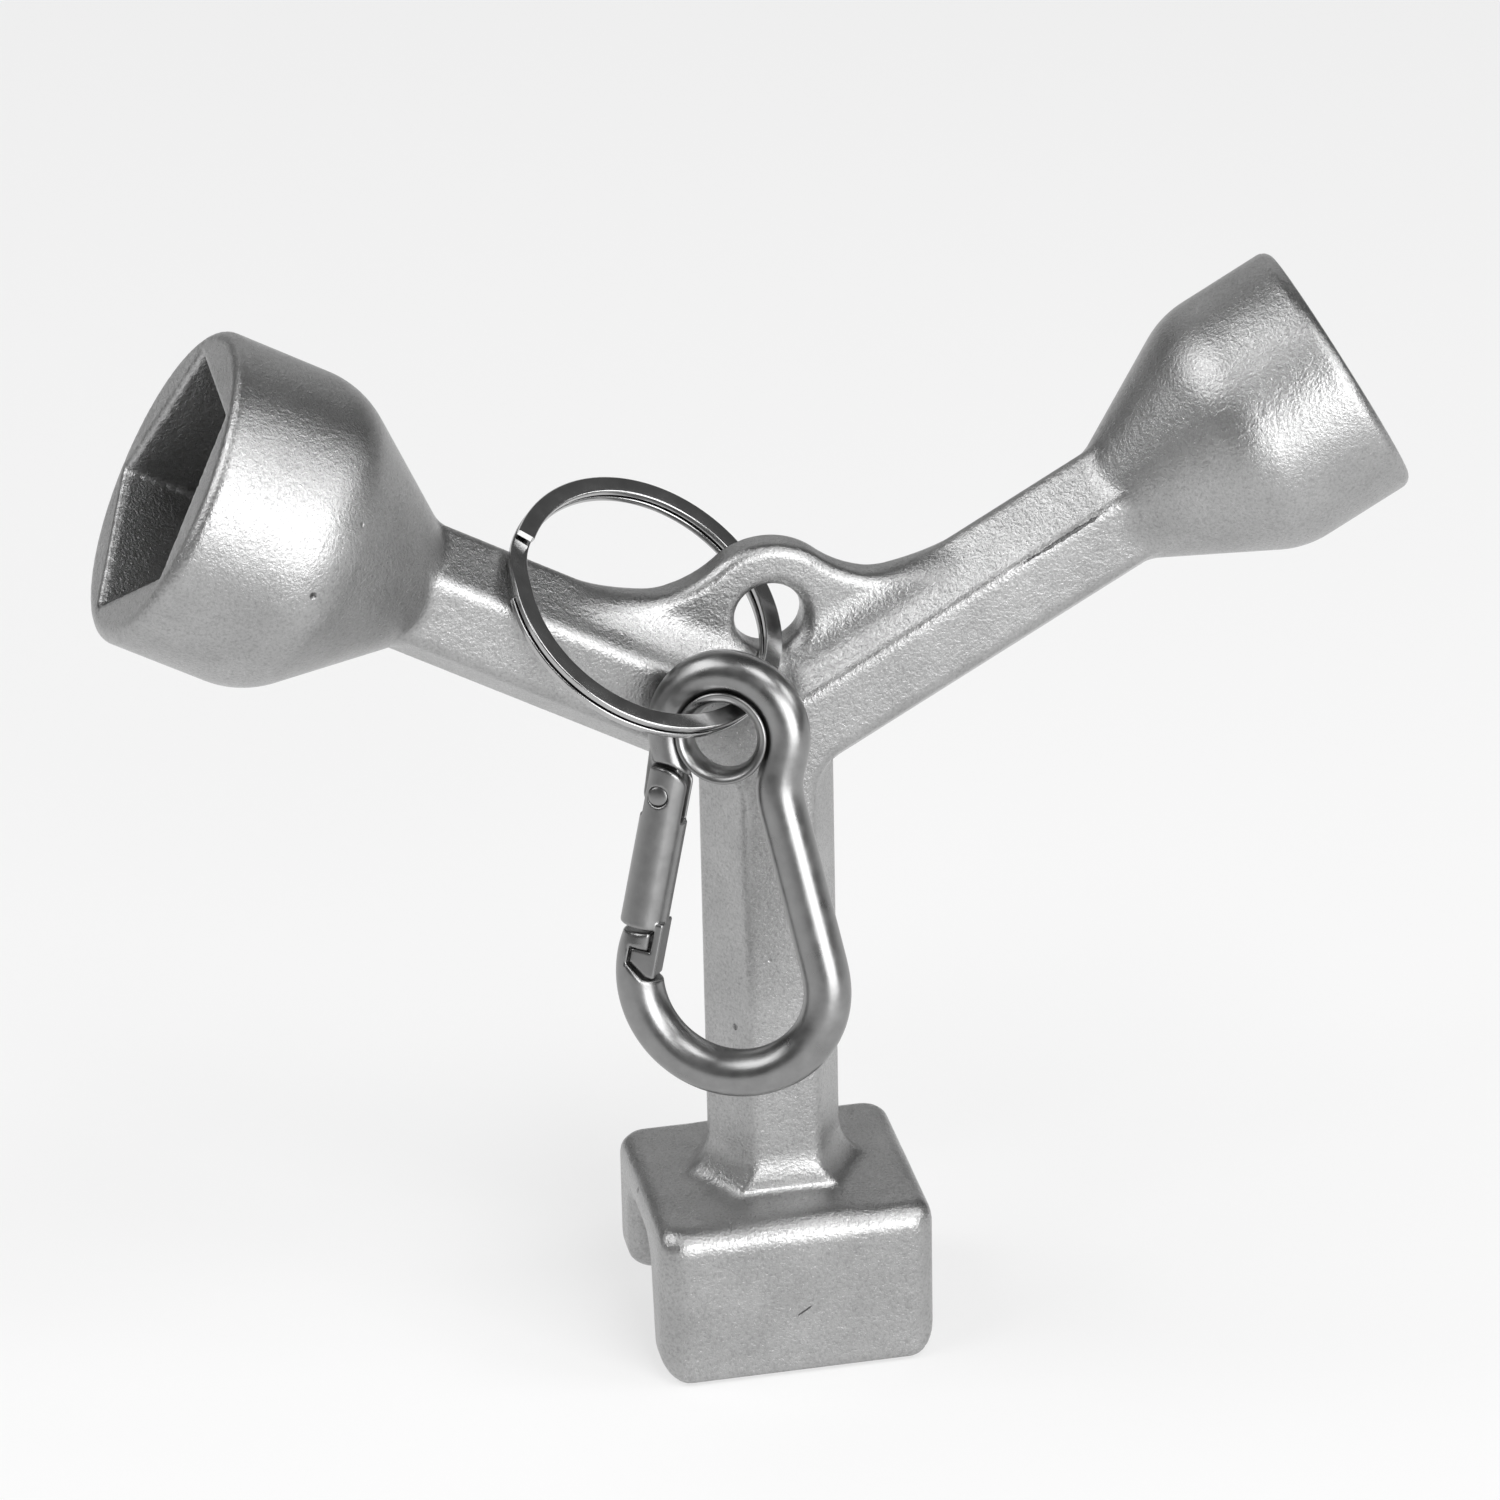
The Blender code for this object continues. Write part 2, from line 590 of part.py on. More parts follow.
def hook_path():
    """Middle line of the hook's wire from its hinge leg round the eye and the bend to the nose."""
    leg_foot = RIVET_PLACE + LEG_FOOT
    path = [(leg_foot.x, leg_foot.y, 0.0)]
    shares = [LEG_WIRE_SHARE]
    eye_steps = 18
    for number in range(eye_steps + 1):
        angle = EYE_START + (EYE_STOP - EYE_START) * number / eye_steps
        swell = min(1.0, number / (eye_steps * 0.4))
        share = LEG_WIRE_SHARE + (EYE_WIRE_SHARE - LEG_WIRE_SHARE) * swell
        radius = EYE_INNER_RADIUS + WIRE_RADIUS * share
        path.append((radius * math.cos(angle), radius * math.sin(angle), 0.0))
        shares.append(share)
    neck = EYE_INNER_RADIUS + EYE_WIRE_RADIUS
    spine_start = Vector((neck * math.cos(SPINE_START), neck * math.sin(SPINE_START)))
    inset = BEND_RADIUS - SPINE_BEND_RADIUS
    spine_bend = BEND_CENTRE + inset * Vector((math.cos(SPINE_BEND_ANGLE), math.sin(SPINE_BEND_ANGLE)))
    spine_end = tangent_point(spine_start, spine_bend, SPINE_BEND_RADIUS)
    for share in (0.06, 0.35, 0.65, 1.0):
        place = spine_start.lerp(spine_end, share)
        path.append((place.x, place.y, 0.0))
    reach = spine_end - spine_bend
    start = math.atan2(reach.y, reach.x)
    nose_rise = (BEND_DROP + WIRE_RADIUS) / BEND_RADIUS
    bend = arc(spine_bend, SPINE_BEND_RADIUS, start, SPINE_BEND_ANGLE, 7)[1:]
    bend += arc(BEND_CENTRE, BEND_RADIUS, SPINE_BEND_ANGLE, -math.pi - math.asin(nose_rise), 15)[1:]
    path += [(place[0], place[1], 0.0) for place in bend]
    shares += [1.0] * (len(path) - len(shares))
    return path, shares


def gate_matrix():
    """The gate's frame inside the hook's: origin on the rivet, Y up along the gate."""
    place = Matrix.Translation((RIVET_PLACE.x, RIVET_PLACE.y, 0.0))
    return place @ Matrix.Rotation(-GATE_LEAN, 4, "Z")


def latch_outline(grow):
    """The gate's latch in the gate's frame: a thin stem with a barb, grown by a clearance."""
    inner = GATE_AXIS_OFFSET + GATE_DIAMETER / 2.0
    foot = -GATE_REACH - LATCH_DROP
    barb_top = foot + BARB_HEIGHT
    tip = inner - BARB_WIDTH
    stem = inner - LATCH_STEM
    return [
        (inner + grow, -GATE_REACH + LATCH_STEM), (inner + grow, foot - grow),
        (stem - grow, foot - grow), (tip - grow, barb_top - BARB_TIP - grow),
        (tip - grow, barb_top + grow), (stem - grow, barb_top + grow),
        (stem - grow, -GATE_REACH + LATCH_STEM),
    ]


def make_hook(parent, material):
    """The hook's wire, with a flat tongue for the gate's hinge and a notch in its nose."""
    path, shares = hook_path()
    body = add_object("hook_body", wire_mesh("hook_body", path, WIRE_RADIUS, shares), PARTS, parent)
    gate_frame = gate_matrix()

    def join(name, mesh, matrix, operation):
        operand = add_object(name, mesh, CUTTERS, parent, matrix)
        combine(body, operand, operation)

    shoulder = arc((0.0, 0.0), CHEEK_RADIUS + CLEARANCE, 0.0, 2.0 * math.pi, 33)[:-1]
    shoulder = plate_mesh("hinge_shoulder", shoulder, 2.0 * WIRE_DIAMETER)
    join("hinge_shoulder", shoulder, gate_frame, "DIFFERENCE")
    leg = Vector(path[1])
    root = Vector((RIVET_PLACE.x, RIVET_PLACE.y, 0.0))
    toward = leg - root
    lean = math.atan2(toward.y, toward.x)
    thickness = CHEEK_SLOT_WIDTH - 2.0 * CLEARANCE
    waist = TONGUE_RADIUS * 0.8
    outline = arc(RIVET_PLACE, TONGUE_RADIUS, lean + math.pi / 2.0, lean + 1.5 * math.pi, 13)
    outline += arc(leg, waist, lean - math.pi / 2.0, lean + math.pi / 2.0, 9)
    join("hinge_tongue", plate_mesh("hinge_tongue", outline, thickness), Matrix.Identity(4), "UNION")
    heel_place = (HEEL_REACH * math.cos(HEEL_ANGLE), HEEL_REACH * math.sin(HEEL_ANGLE))
    heel = arc(heel_place, HEEL_RADIUS, 0.0, 2.0 * math.pi, 17)[:-1]
    join("hinge_heel", plate_mesh("hinge_heel", heel, thickness), gate_frame, "UNION")
    hole = turned_mesh("tongue_hole", pin_profile(RIVET_RADIUS + CLEARANCE, WIRE_DIAMETER), 20)
    join("tongue_hole", hole, gate_frame, "DIFFERENCE")
    notch = latch_outline(CLEARANCE)
    gate_side = GATE_AXIS_OFFSET + GATE_DIAMETER / 2.0
    notch = [(x + WIRE_DIAMETER if x > gate_side else x, y) for x, y in notch]
    join("nose_notch", plate_mesh("nose_notch", notch, 2.0 * WIRE_DIAMETER), gate_frame, "DIFFERENCE")
    trim = box_mesh("nose_trim", (2.0 * WIRE_DIAMETER, WIRE_DIAMETER, 2.0 * WIRE_DIAMETER))
    trim_place = Vector((BEND_CENTRE.x - BEND_RADIUS, NOSE_TOP + WIRE_DIAMETER / 2.0, 0.0))
    join("nose_trim", trim, Matrix.Translation(trim_place), "DIFFERENCE")
    finish(body, material)
    return body


def pin_profile(radius, length):
    """A plain pin centred on its middle."""
    half = length / 2.0
    return [(0.0, half), (radius, half), (radius, -half), (0.0, -half)]


def along_gate(bottom):
    """Turns a piece made along Z onto the gate's own axis, its foot at the given height."""
    return Matrix.Translation((GATE_AXIS_OFFSET, bottom, 0.0)) @ Matrix.Rotation(-math.pi / 2.0, 4, "X")


def seat_depth():
    """How far below the rivet the slot between the cheeks ends."""
    return TONGUE_RADIUS + TONGUE_HEEL + CLEARANCE


def make_gate(parent, material):
    """The gate: a round bar with a slotted, round-topped hinge end and a barbed latch."""
    radius = GATE_DIAMETER / 2.0
    length = GATE_REACH + CHEEK_RADIUS + OVERCUT
    bar = turned_mesh("gate", [(0.0, length), (radius, length), (radius, 0.0), (0.0, 0.0)], 28)
    bar.transform(along_gate(-GATE_REACH))
    gate = add_object("gate", bar, PARTS, parent)

    def join(name, mesh, matrix, operation):
        operand = add_object(name, mesh, CUTTERS, parent, matrix)
        combine(gate, operand, operation)

    keep = arc((0.0, 0.0), CHEEK_RADIUS, 0.0, math.pi, 17)
    keep += [(-CHEEK_RADIUS, -GATE_REACH - OVERCUT), (CHEEK_RADIUS, -GATE_REACH - OVERCUT)]
    join("gate_top", plate_mesh("gate_top", keep, GATE_DIAMETER * 2.0), Matrix.Identity(4), "INTERSECT")
    join("latch", plate_mesh("latch", latch_outline(0.0), LATCH_THICKNESS), Matrix.Identity(4), "UNION")
    slot_height = CHEEK_RADIUS + OVERCUT + seat_depth()
    slot = box_mesh("cheek_slot", (GATE_DIAMETER * 2.0, slot_height, CHEEK_SLOT_WIDTH))
    middle = slot_height / 2.0 - seat_depth()
    join("cheek_slot", slot, Matrix.Translation((0.0, middle, 0.0)), "DIFFERENCE")
    bore_length = GATE_BORE_DEPTH - seat_depth() + CLEARANCE
    bore = [(0.0, bore_length), (GATE_BORE_RADIUS, bore_length), (GATE_BORE_RADIUS, 0.0), (0.0, 0.0)]
    join("gate_bore", turned_mesh("gate_bore", bore, 16), along_gate(-GATE_BORE_DEPTH), "DIFFERENCE")
    hole = turned_mesh("rivet_hole", pin_profile(RIVET_RADIUS + CLEARANCE, GATE_DIAMETER * 2.0), 20)
    join("rivet_hole", hole, Matrix.Identity(4), "DIFFERENCE")
    finish(gate, material)
    return gate


def make_rivet(parent, material):
    """The hinge rivet through both cheeks and the tongue."""
    mesh = turned_mesh("hinge_rivet", pin_profile(RIVET_RADIUS, RIVET_LENGTH), 20)
    rivet = add_object("hinge_rivet", mesh, PARTS, parent)
    finish(rivet, material)
    return rivet


def plunger_top():
    """Height of the plunger's nose in the gate's frame, just under the hook's heel."""
    heel_drop = HEEL_RADIUS - HEEL_REACH * math.sin(HEEL_ANGLE)
    return -max(TONGUE_RADIUS, heel_drop) - CLEARANCE


def make_plunger(parent, material):
    """The plunger that the hook's heel pushes down as the gate opens."""
    radius = GATE_BORE_RADIUS - CLEARANCE
    profile = [
        (0.0, PLUNGER_LENGTH), (radius - PLUNGER_CHAMFER, PLUNGER_LENGTH),
        (radius, PLUNGER_LENGTH - PLUNGER_CHAMFER), (radius, 0.0), (0.0, 0.0),
    ]
    mesh = turned_mesh("gate_plunger", profile, 16)
    plunger = add_object("gate_plunger", mesh, PARTS, parent, along_gate(plunger_top() - PLUNGER_LENGTH))
    finish(plunger, material)
    return plunger


def make_spring(parent, material):
    """The gate's coil spring, between the plunger and the end of the bore."""
    top = plunger_top() - PLUNGER_LENGTH - CLEARANCE - SPRING_WIRE_RADIUS
    bottom = -GATE_BORE_DEPTH + CLEARANCE + SPRING_WIRE_RADIUS
    coil_radius = GATE_BORE_RADIUS - CLEARANCE - SPRING_WIRE_RADIUS
    steps = 9
    count = SPRING_TURNS * steps
    path = []
    for number in range(count + 1):
        angle = 2.0 * math.pi * number / steps
        height = (top - bottom) * number / count
        path.append((coil_radius * math.cos(angle), coil_radius * math.sin(angle), height))
    pitch = (top - bottom) / SPRING_TURNS
    print("gate spring, least gap to itself (mm):", round((pitch - 2.0 * SPRING_WIRE_RADIUS) / MM, 3))
    mesh = wire_mesh("gate_spring", path, SPRING_WIRE_RADIUS, resolution=1)
    spring = add_object("gate_spring", mesh, PARTS, parent, along_gate(bottom))
    finish(spring, material)
    return spring


def main():
    """Builds the wrench, hangs the ring in its lug and the hook on the ring."""
    cast_steel = steel("cast_steel", (0.52, 0.52, 0.52), 0.48)
    bright_steel = steel("bright_steel", (0.62, 0.62, 0.62), 0.22)
    spring_steel = steel("spring_steel", (0.42, 0.42, 0.43), 0.35)

    make_wrench(cast_steel)

    lug = HUB + Vector((LUG_OFFSET, 0.0, LUG_HEIGHT)) + RING_SEAT
    ring_turn = frame_matrix(RING_TO_LUG, RING_NORMAL, lug)
    ring_hinge = add_empty("ring_hinge", ring_turn)
    to_centre = Matrix.Translation((-RING_RADIUS, 0.0, 0.0))
    make_split_ring(ring_hinge, to_centre, bright_steel)

    reach = Vector((RING_RADIUS * math.cos(HOOK_RING_ANGLE), RING_RADIUS * math.sin(HOOK_RING_ANGLE), 0.0))
    hang_point = ring_turn @ to_centre @ reach
    right = Vector((math.cos(HOOK_TURN), -math.sin(HOOK_TURN), 0.0))
    level = Vector((-math.sin(HOOK_TURN), -math.cos(HOOK_TURN), 0.0))
    facing = math.cos(HOOK_LEAN) * level + Vector((0.0, 0.0, math.sin(HOOK_LEAN)))
    hook_turn = frame_matrix(right, facing, hang_point)
    hook_frame = add_empty("hook_frame", hook_turn @ Matrix.Translation(EYELET_HANG))
    make_eyelet(hook_frame, bright_steel)
    make_hook(hook_frame, bright_steel)

    gate_hinge = add_empty("gate_hinge", gate_matrix(), hook_frame)
    make_gate(gate_hinge, bright_steel)
    make_rivet(gate_hinge, bright_steel)
    make_plunger(gate_hinge, bright_steel)
    make_spring(gate_hinge, spring_steel)
    bpy.context.view_layer.update()


main()
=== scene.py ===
"""Looks of the hydrant wrench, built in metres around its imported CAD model.

The casting, the hook and its gate are worked out as distance fields, so that their corners run into
each other with soft fillets. The ring and the spring are swept by Geometry Nodes, and the eyelet, the
rivet and the plunger are turned from profiles.
"""
import json
import math

import bmesh
import bpy
import numpy as np
import openvdb
from mathutils import Matrix, Vector


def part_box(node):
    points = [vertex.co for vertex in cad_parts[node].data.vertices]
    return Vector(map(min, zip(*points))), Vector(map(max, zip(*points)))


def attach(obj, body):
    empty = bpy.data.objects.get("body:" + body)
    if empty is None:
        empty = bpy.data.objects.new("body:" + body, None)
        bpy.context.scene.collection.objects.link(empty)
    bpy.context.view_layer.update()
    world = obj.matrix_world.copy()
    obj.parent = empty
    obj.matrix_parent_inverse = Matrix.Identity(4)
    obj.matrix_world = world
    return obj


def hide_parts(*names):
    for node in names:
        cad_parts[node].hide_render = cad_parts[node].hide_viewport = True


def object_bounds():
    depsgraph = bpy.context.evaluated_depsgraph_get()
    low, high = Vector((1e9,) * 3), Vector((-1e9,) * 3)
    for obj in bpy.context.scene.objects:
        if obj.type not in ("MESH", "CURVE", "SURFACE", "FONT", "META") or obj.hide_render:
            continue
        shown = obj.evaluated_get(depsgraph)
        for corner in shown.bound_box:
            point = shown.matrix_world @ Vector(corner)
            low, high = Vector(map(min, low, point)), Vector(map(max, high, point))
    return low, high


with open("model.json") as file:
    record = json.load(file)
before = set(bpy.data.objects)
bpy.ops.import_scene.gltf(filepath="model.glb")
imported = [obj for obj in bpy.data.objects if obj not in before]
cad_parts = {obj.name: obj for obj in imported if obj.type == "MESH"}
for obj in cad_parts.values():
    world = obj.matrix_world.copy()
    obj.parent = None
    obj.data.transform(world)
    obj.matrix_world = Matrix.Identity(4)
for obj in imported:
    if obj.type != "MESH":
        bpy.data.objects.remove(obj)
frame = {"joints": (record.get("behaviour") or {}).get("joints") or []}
cad_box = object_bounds()

MM = 0.001
JOINTS = {joint["name"]: joint for joint in frame["joints"]}

# Meshing of distance fields and of swept or turned pieces
GRID_MARGIN = 3.0
GRID_LAYERS = 24
SETTLE_ROUNDS = 3
SETTLE_NUDGE = 0.1
SETTLE_LIMIT = 0.5
LEAST_SLOPE = 0.25
MERGE_DISTANCE = 0.002 * MM
TURNED_SHARP = math.radians(40.0)
SWEPT_SHARP = math.radians(50.0)
EYELET_STEPS = 96
BORE_POINTS = 41
GROOVE_POINTS = 21
LIP_POINTS = 7
DOME_POINTS = 10
PIN_STEPS = 48

# Casting, mostly as in the CAD model
ARM_RADIUS = 9.0 * MM
ARM_RISE = math.radians(29.3)
ARM_EDGE = 1.0 * MM
HUB_HEIGHT = 69.6 * MM
CROTCH_FILLET = 3.9 * MM
HEAD_WIDTH = 36.9 * MM
HEAD_DEPTH = 31.9 * MM
HEAD_TOP = 5.9 * MM
HEAD_CORNER = 3.8 * MM
HEAD_EDGE = 3.2 * MM
FRONT_FOOT = -16.35 * MM
REAR_FOOT = -12.65 * MM
FOOT_CORNER = 4.2 * MM
FOOT_EDGE = 0.9 * MM
SLOT_WIDTH = 11.8 * MM
SLOT_SPLAY = math.radians(8.0)
SLOT_EDGE = 2.2 * MM
HEAD_DOME = 0.9 * MM
FLARE_RADIUS = 8.3 * MM
FLARE_HEIGHT = 6.5 * MM
FLARE_FILLET = 0.8 * MM
PENTAGON = {"side": -1, "reach": 85.6 * MM, "barrel": 20.5 * MM, "length": 14.3 * MM,
            "shoulder": 12.0 * MM, "cone": 19.4 * MM}
SQUARE = {"side": 1, "reach": 85.9 * MM, "barrel": 17.3 * MM, "length": 12.6 * MM,
          "shoulder": 13.0 * MM, "cone": 18.6 * MM}
POINT_TO_FLAT = 31.9 * MM
ACROSS_FLATS = 20.0 * MM
SOCKET_DEPTH = 18.0 * MM
RIM_ROUND = 1.6 * MM
MOUTH_ROUND = 0.6 * MM
CONE_FILLET = 0.6 * MM
WEB_THICKNESS = 5.2 * MM
WEB_TOP = 20.0 * MM
WEB_EDGE = 1.5 * MM
WEB_SWELL = 0.3 * MM
WEB_FILLET = 3.0 * MM
LUG = (0.5 * MM, 16.2 * MM)
LUG_RADIUS = 9.6 * MM
LUG_FILLET = 15.0 * MM
LUG_HOLE = 4.4 * MM
LUG_HOLE_ROUND = 1.7 * MM
CAST_STEP = 0.62 * MM

# Split ring
RING_RADIUS = 17.6 * MM
STRIP_WIDTH = 2.3 * MM
STRIP_THICKNESS = 0.9 * MM
STRIP_GAP = 0.44 * MM
STRIP_EDGE = 0.22 * MM
STRIP_EDGE_POINTS = 5
RING_NORMAL = Vector((0.378, -0.501, 0.779)).normalized()
RING_TO_LUG = Vector((0.926, 0.191, -0.326))
RING_JOG = math.radians(30.0)
RING_JOG_PLACE = math.radians(184.0)
RING_POINTS = 480

# Snap hook
WIRE_RADIUS = 3.0 * MM
LEG_SHARE = 0.77
EYE_SHARE = 0.93
LEG_FOOT = Vector((1.2, 3.2)) * MM
EYELET_BORE = 4.2 * MM
EYELET_FLANGE = 5.85 * MM
EYELET_LENGTH = 5.2 * MM
EYELET_LIP = 0.3 * MM
EYE_INNER = 5.35 * MM
EYE_START = math.radians(190.0)
EYE_STOP = math.radians(-24.0)
EYE_POINTS = 60
EYE_SWELL = 0.4
SPINE_START = math.radians(-37.0)
SPINE_POINTS = (0.06, 0.35, 0.65, 1.0)
BEND_RADIUS = 12.5 * MM
SPINE_BEND_RADIUS = 10.8 * MM
SPINE_BEND_ANGLE = math.radians(-45.0)
SPINE_BEND_POINTS = 20
BEND_POINTS = 48
BEND_CENTRE = Vector((2.3, -31.2)) * MM
NOSE_TOP = -25.9 * MM
RIVET_PLACE = Vector((-7.75, -8.1)) * MM
RIVET_RADIUS = 1.25 * MM
RIVET_LENGTH = 5.7 * MM
RIVET_GAP = 0.05 * MM
RIVET_DOME = 0.25 * MM
RIVET_DOME_END = 1.5
HOOK_STEP = 0.25 * MM
HOOK_EDGE = 0.3 * MM
PATH_STEP = 0.3 * MM
PATH_SPAN = 5
PATH_ROUNDS = 2

# Gate
GATE_LEAN = math.radians(8.8)
GATE_RADIUS = 3.0 * MM
GATE_OFFSET = 0.65 * MM
GATE_REACH = 17.4 * MM
CHEEK_RADIUS = 3.75 * MM
CHEEK_SLOT = 2.8 * MM
TONGUE_RADIUS = 2.3 * MM
TONGUE_HEEL = 0.45 * MM
TONGUE_TAPER = 0.2
HEEL_ANGLE = math.radians(-50.0)
GATE_BORE = 1.55 * MM
GATE_BORE_DEPTH = 13.0 * MM
LATCH_THICKNESS = 4.6 * MM
LATCH_DROP = 6.2 * MM
LATCH_STEM = 1.1 * MM
LATCH_GAP = 0.25 * MM
BARB_HEIGHT = 3.4 * MM
BARB_WIDTH = 3.5 * MM
BARB_TIP = 1.8 * MM
PLUNGER_LENGTH = 3.0 * MM
PLUNGER_DOME = 0.4 * MM
PLUNGER_DOME_END = 1.57
PLUNGER_BEVEL = 0.15 * MM
SPRING_WIRE = 0.2 * MM
SPRING_TURNS = 5
COIL_POINTS = 32
SPRING_WIRE_POINTS = 12
CLEARANCE = 0.35 * MM
GATE_STEP = 0.2 * MM
GATE_EDGE = 0.25 * MM
RIVET_HOLE_EDGE = GATE_EDGE / 4.0

# Camera, fitted to the photograph's frame of 1500 x 1500 pixels
FRAME_PIXELS = 1500.0
CAMERA_AZIMUTH = math.radians(11.39)
CAMERA_ELEVATION = math.radians(25.84)
CAMERA_ROLL = math.radians(-1.16)
CAMERA_DISTANCE = 858.9 * MM
FOCAL_PIXELS = 6768.0
HUB_PIXEL = (765.18, 727.31)
SENSOR = 36.0
CAMERA_NEAR = 0.01

# Finishes, with noise scales per metre and ramps as (place, grey) stops
CAST_GREYS = ((0.3, 0.36), (0.7, 0.44))
CAST_SPECKS = ((0.3, 0.75), (0.5, 1.0), (0.7, 1.1))
CAST_ROUGHNESS = ((0.3, 0.36), (0.7, 0.26))
CLOUD_SCALE = 110.0
GRAIN_SCALE = 2600.0
WAVE_SCALE = 300.0
WAVE_HEIGHT = 0.3 * MM
WAVE_STRENGTH = 0.1
WRINKLE_SCALE = 900.0
WRINKLE_HEIGHT = 0.15 * MM
WRINKLE_STRENGTH = 0.45
GRAIN_HEIGHT = 0.14 * MM
GRAIN_STRENGTH = 0.7
FLAW_DEPTH = 0.3 * MM
# Grey that the pits, crack and scratch are darkened to: painted shade in their hollows
FLAW_SHADE_GREY = 0.25
PIT_EDGE = ((0.02, 0.0), (0.05, 1.0))
GOUGE_EDGE = ((0.85, 0.0), (1.0, 1.0))
PIT_SPREAD = 90.0
GOUGE_SCALE = 1200.0
CRACK_MIDDLE = Vector((37.5, -7.7, 95.4)) * MM
CRACK_SIZE = Vector((13.0, 1.0, 0.5)) * MM
SCRATCH_MIDDLE = Vector((0.5, -15.9, -7.1)) * MM
SCRATCH_SIZE = Vector((2.6, 1.0, 0.25)) * MM
SCRATCH_LEAN = math.radians(33.0)
WEAR_SCALE = 400.0
WEAR_SPREAD = 0.03
SATIN_SCALE = 1800.0
SATIN_HEIGHT = 0.03 * MM
SATIN_STRENGTH = 0.3

# Satin steels, as (grey, least roughness, most roughness)
RING_FINISH = (0.46, 0.14, 0.22)
HOOK_FINISH = (0.28, 0.27, 0.36)
SPRING_FINISH = (0.4, 0.25, 0.35)

# Stage: each lamp has its place, size and watts
FLOOR_SIZE = 6.0
FLOOR_DROP = 0.2 * MM
FLOOR_GREY = 0.88
FLOOR_ROUGHNESS = 0.9
FLOOR_WHITE = 0.6
ROOM_GREY = 0.12
LAMP_TARGET = (0.0, 0.0, 0.06)
LAMPS = {
    "front_softbox": ((0.41, -1.13, 0.41), (1.0, 0.8), 13.5),
    "left_softbox": ((-0.85, -0.05, 0.97), (1.0, 0.8), 8.5),
    "top_softbox": ((0.2, -0.55, 1.17), (0.6, 0.5), 4.0),
    "right_softbox": ((0.95, -0.35, 0.75), (0.5, 0.4), 3.0),
    "back_softbox": ((0.15, 1.15, 0.65), (1.4, 0.8), 2.0),
}


def round_union(first, second, radius):
    """Distance to two bodies joined with a round fillet."""
    reach = np.hypot(np.maximum(radius - first, 0.0), np.maximum(radius - second, 0.0))
    return np.maximum(radius, np.minimum(first, second)) - reach


def round_common(first, second, radius):
    """Distance to what two bodies share, the edge between them rounded."""
    reach = np.hypot(np.maximum(radius + first, 0.0), np.maximum(radius + second, 0.0))
    return np.minimum(-radius, np.maximum(first, second)) + reach


def round_cut(body, tool, radius):
    """Distance to a body with a tool cut out of it, the edge of the cut rounded."""
    return round_common(body, -tool, radius)


def soft_max(first, second, width):
    """The greater of two distances, with a soft edge of even width where they meet."""
    return np.maximum(first, second) + np.maximum(width - np.abs(first - second), 0.0) ** 2 / (4.0 * width)


def polygon_field(across, up, corners):
    """Distance to a closed outline with straight sides."""
    squared = np.full(np.broadcast(across, up).shape, np.inf)
    inside = np.ones(squared.shape)
    for (x0, y0), (x1, y1) in zip(corners, corners[1:] + corners[:1]):
        side_x, side_y = x1 - x0, y1 - y0
        from_x, from_y = across - x0, up - y0
        share = np.clip((from_x * side_x + from_y * side_y) / (side_x ** 2 + side_y ** 2), 0.0, 1.0)
        squared = np.minimum(squared, (from_x - share * side_x) ** 2 + (from_y - share * side_y) ** 2)
        crosses = ((up >= y0) != (up >= y1)) & ((from_x * side_y < from_y * side_x) == (y1 > y0))
        inside = np.where(crosses, -inside, inside)
    return inside * np.sqrt(squared)


def hexagon_field(across, deep, radius, edge):
    """Distance to a hexagon with flats to the front and back and soft edges, kept mitred outside."""
    slope = math.sqrt(0.75)
    slants = soft_max(slope * across + 0.5 * deep, slope * across - 0.5 * deep, edge)
    return soft_max(slants, np.abs(deep), edge) - radius * slope


def field_mesh(name, field, low, high, step, place=Matrix.Identity(4)):
    """A closed mesh of a field's zero surface, worked out on a grid in the field's own frame."""
    low = np.array(low) - GRID_MARGIN * step
    counts = np.ceil((np.array(high) + GRID_MARGIN * step - low) / step).astype(int)
    axes = [low[i] + step * np.arange(counts[i]) for i in range(3)]
    values = np.empty(counts, np.float32)
    y, z = axes[1][None, :, None], axes[2][None, None, :]
    for start in range(0, counts[0], GRID_LAYERS):
        layers = slice(start, start + GRID_LAYERS)
        values[layers] = field(axes[0][layers, None, None], y, z)
    grid = openvdb.FloatGrid(1.0)
    grid.copyFromArray(values)
    points, quads = grid.convertToQuads()
    points = low + step * points.astype(float)
    points = settled(points, field, step)
    mesh = bpy.data.meshes.new(name)
    mesh.from_pydata(points.tolist(), [], quads[:, ::-1].tolist())
    mesh.transform(place)
    clean(mesh)
    mesh.shade_smooth()
    return mesh


def clean(mesh):
    """Merges a closed mesh's doubles and turns its faces outwards."""
    work = bmesh.new()
    work.from_mesh(mesh)
    bmesh.ops.remove_doubles(work, verts=work.verts, dist=MERGE_DISTANCE)
    bmesh.ops.recalc_face_normals(work, faces=work.faces)
    work.to_mesh(mesh)
    work.free()


def settled(points, field, step):
    """Grid points moved onto the field's zero surface."""
    nudge, limit = SETTLE_NUDGE * step, SETTLE_LIMIT * step
    for _ in range(SETTLE_ROUNDS):
        x, y, z = points.T
        here = field(x, y, z)
        slope = np.stack([field(x + nudge, y, z) - here, field(x, y + nudge, z) - here,
                          field(x, y, z + nudge) - here], 1) / nudge
        size = np.maximum((slope ** 2).sum(1), LEAST_SLOPE)
        move = np.clip(here / size, -limit, limit)
        points = points - move[:, None] * slope
    return points


def arc(centre, radius, start, stop, count):
    """Points on an arc, both ends included."""
    angles = np.linspace(start, stop, count)
    return [Vector((centre[0] + radius * math.cos(a), centre[1] + radius * math.sin(a))) for a in angles]


# The casting

